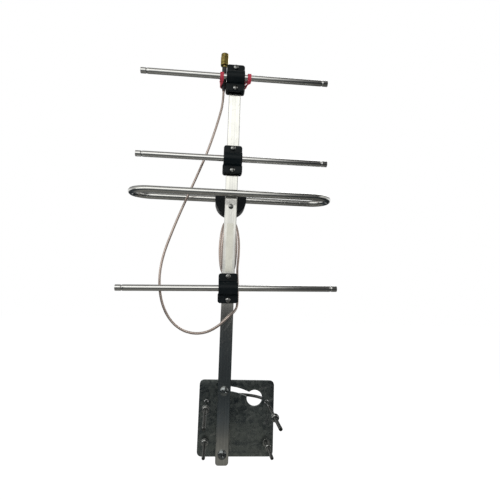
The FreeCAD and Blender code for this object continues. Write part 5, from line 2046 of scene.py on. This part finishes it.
# --- studio
@dataclass
class Studio:
    """Pale floor, soft light and the camera."""

    floor_z: float = -0.16
    floor_half: float = 6.0
    camera_at: Triple = (-23.7 * MM, -402.0 * MM, 110.7 * MM)
    tilt_x: float = math.radians(-7.76)
    tilt_y: float = math.radians(-4.62)
    tilt_z: float = math.radians(1.67)
    lens: float = 28.8
    white: Colour = (1.0, 1.0, 1.0)
    warm: Colour = (1.0, 0.985, 0.93)
    floor_tint: Colour = (1.0, 0.985, 0.9)
    sky_tint: Colour = (1.0, 1.0, 0.985)
    cool: Colour = (0.84, 1.0, 1.1)

    def build(self) -> None:
        """Sets up the view, the floor, the world and the lamps."""
        bpy.context.scene.view_settings.view_transform = "Standard"
        self.camera()
        self.floor()
        self.world()
        self.lamps()

    def camera(self) -> None:
        """Camera whose axes are the rows of the fitted turn Rz Rx Ry applied to the model's axes."""
        turn = (Matrix.Rotation(self.tilt_z, 3, "Z") @ Matrix.Rotation(self.tilt_x, 3, "X")
                @ Matrix.Rotation(self.tilt_y, 3, "Y"))
        rows = Matrix.Diagonal((1, -1, -1)) @ turn @ Matrix(((1, 0, 0), (0, 0, -1), (0, 1, 0)))
        data = bpy.data.cameras.new("camera")
        data.lens = self.lens
        data.sensor_width = 36.0
        data.clip_start, data.clip_end = 0.01, 50.0
        camera = placed("camera", data)
        camera.matrix_world = Matrix.Translation(self.camera_at) @ rows.transposed().to_4x4()
        bpy.context.scene.camera = camera

    def floor(self) -> None:
        """Large pale floor: white to the camera where it is unshaded, with the object's shadow kept.

        Reflections see it pale under the antenna and falling off towards the dim room.
        """
        half = self.floor_half
        mesh = bpy.data.meshes.new("floor")
        corners = [(x * half, y * half, self.floor_z) for x, y in ((-1, -1), (1, -1), (1, 1), (-1, 1))]
        mesh.from_pydata(corners, [], [(0, 1, 2, 3)])
        tree = Surface("PaleFloor")
        tree.wire({"Base Color": (0.86, 0.86, 0.86, 1), "Roughness": 1.0, "Specular IOR Level": 0.0})
        lit = tree.shader.outputs[0]
        path = tree.add("LightPath").outputs
        glow = tree.add("Emission", {"Color": (*self.white, 1), "Strength": 0.84}).outputs[0]
        shaded = tree.add("MixShader", {0: 0.7, 1: lit}).outputs[0]
        seen = tree.add("AddShader", {0: shaded, 1: glow}).outputs[0]
        distance = tree.add("VectorMath", {0: tree.stretch(tree.place, (1.0, 1.0, 0.0))}, operation="LENGTH")
        near = tree.math("DIVIDE", distance.outputs["Value"], 2.0, clamp=True)
        colour = tree.ramp(near, (
            (0.0, 0.17), (0.14, 0.17), (0.19, 0.21), (0.21, 0.2), (0.24, 0.13), (0.28, 0.075, self.cool),
            (0.42, 0.032, self.cool), (0.65, 0.042, self.cool), (1.0, 0.05, self.cool)), self.floor_tint)
        fall = tree.remap(tree.parts(tree.place)[0], 0.06, 0.16, 1.0, 0.55, smooth=True)
        dim = tree.add("Emission", {"Color": colour, "Strength": fall}).outputs[0]
        mirrored = tree.math("MAXIMUM", path["Is Glossy Ray"], path["Is Transmission Ray"])
        rest = tree.add("MixShader", {0: mirrored, 1: lit, 2: dim}).outputs[0]
        final = tree.add("MixShader", {0: path["Is Camera Ray"], 1: rest, 2: seen}).outputs[0]
        tree.fill(tree.tree.nodes["Material Output"], {"Surface": final})
        mesh.materials.append(tree.material)
        placed("floor", mesh)

    def world(self) -> None:
        """White backdrop; metal sees it too, as a gradient from the bright sky to the dim room in front."""
        world = bpy.data.worlds.new("studio")
        bpy.context.scene.world = world
        world.use_nodes = True
        tree = Tree(world.node_tree)
        tree.tree.nodes.clear()
        across, deep, up = tree.parts(tree.add("TexCoord").outputs["Generated"])
        height = tree.remap(up, -1.0, 1.0)
        front = tree.ramp(height, (
            (0.0, 0.1), (0.49, 0.05), (0.52, 0.2), (0.55, 0.42), (0.62, 0.52), (0.70, 0.62), (0.78, 0.66),
            (0.86, 0.44), (0.93, 0.28), (1.0, 0.26)), self.warm)
        back = tree.ramp(height, (
            (0.0, 0.2), (0.47, 0.35), (0.5, 0.9), (0.56, 1.0), (0.62, 0.85), (0.70, 0.42), (0.8, 0.26),
            (1.0, 0.26)), self.sky_tint)
        mirrored = tree.mix(tree.remap(deep, -0.25, 0.25, smooth=True), front, back)
        dark = tree.times(tree.remap(across, 0.06, 0.2, smooth=True),
                          tree.remap(across, 0.5, 0.75, 1.0, 0.0, smooth=True))
        dark = tree.times(dark, tree.remap(deep, -0.1, 0.1, 1.0, 0.0))
        mirrored = tree.mix(tree.times(dark, 0.9), mirrored, (0.03, 0.03, 0.03))
        path = tree.add("LightPath").outputs
        seen = tree.mix(path["Is Camera Ray"], mirrored, self.white)
        backdrop = tree.add("Background", {"Color": seen, "Strength": 1.0}).outputs[0]
        fill = tree.add("Background", {"Color": (*self.white, 1), "Strength": 0.66}).outputs[0]
        visible = tree.math("MAXIMUM", path["Is Camera Ray"], path["Is Glossy Ray"])
        visible = tree.math("MAXIMUM", visible, path["Is Transmission Ray"])
        final = tree.add("MixShader", {0: visible, 1: fill, 2: backdrop}).outputs[0]
        tree.add("OutputWorld", {"Surface": final})

    def lamps(self) -> None:
        """A wide soft lamp over the camera, brighter towards its top, and a softer one above and behind."""
        for name, place, aim, power, (width, height) in (
                ("front_softbox", (-0.56, -0.47, 0.36), (-0.56, 0.0, 0.36), 2.3, (1.4, 0.5)),
                ("top_back_softbox", (0.5, 0.9, 1.2), (0.0, 0.0, 0.15), 5.0, (0.8, 0.8))):
            data = bpy.data.lights.new(name, "AREA")
            data.shape = "RECTANGLE"
            data.size = width
            data.size_y = height
            data.energy = power
            lamp = placed(name, data)
            lamp.visible_camera = False
            lamp.location = place
            lamp.rotation_euler = (Vector(aim) - Vector(place)).to_track_quat("-Z", "Y").to_euler()
        front = bpy.data.lights["front_softbox"]
        front.use_nodes = True
        tree = Tree(front.node_tree)
        across, up, _ = tree.parts(tree.add("NewGeometry").outputs["Parametric"])
        rise = tree.ramp(up, ((0.0, 0.08), (0.08, 0.3), (0.16, 0.5), (0.4, 0.66), (0.8, 0.88), (1.0, 0.93)),
                         self.sky_tint)
        side = tree.ramp(across, ((0.0, 1.0), (0.90, 1.0), (0.935, 0.75), (0.965, 0.35), (1.0, 0.06)),
                         self.sky_tint)
        tree.fill(tree.tree.nodes["Emission"], {"Color": tree.mix(1.0, rise, side, "MULTIPLY")})


def main() -> None:
    """Builds the antenna piece by piece."""
    logging.basicConfig(level=logging.INFO, format="%(message)s")
    Studio().build()
    palette = Palette()
    plug = Plug(palette).build()
    CoaxRun(palette, "balun_coax", "balun_loop", BALUN_ROUTE, 0.124, "object").build()
    CoaxRun(palette, "feed_coax", "feed_cable", CABLE_ROUTE, 0.557, "connector", plug).build()
    Bracket(palette).build()
    Boom(palette).build()
    for name, askew in ELEMENT_ANGLES.items():
        RodElement(palette, name, askew).build()
        RodClamp(palette, name, askew).build()
    build_rod_plugs(palette)
    FoldedDipole(palette).build()
    FeedBox(palette).build()
    ElasticBand(palette).build()


if __name__ == "__main__":
    main()
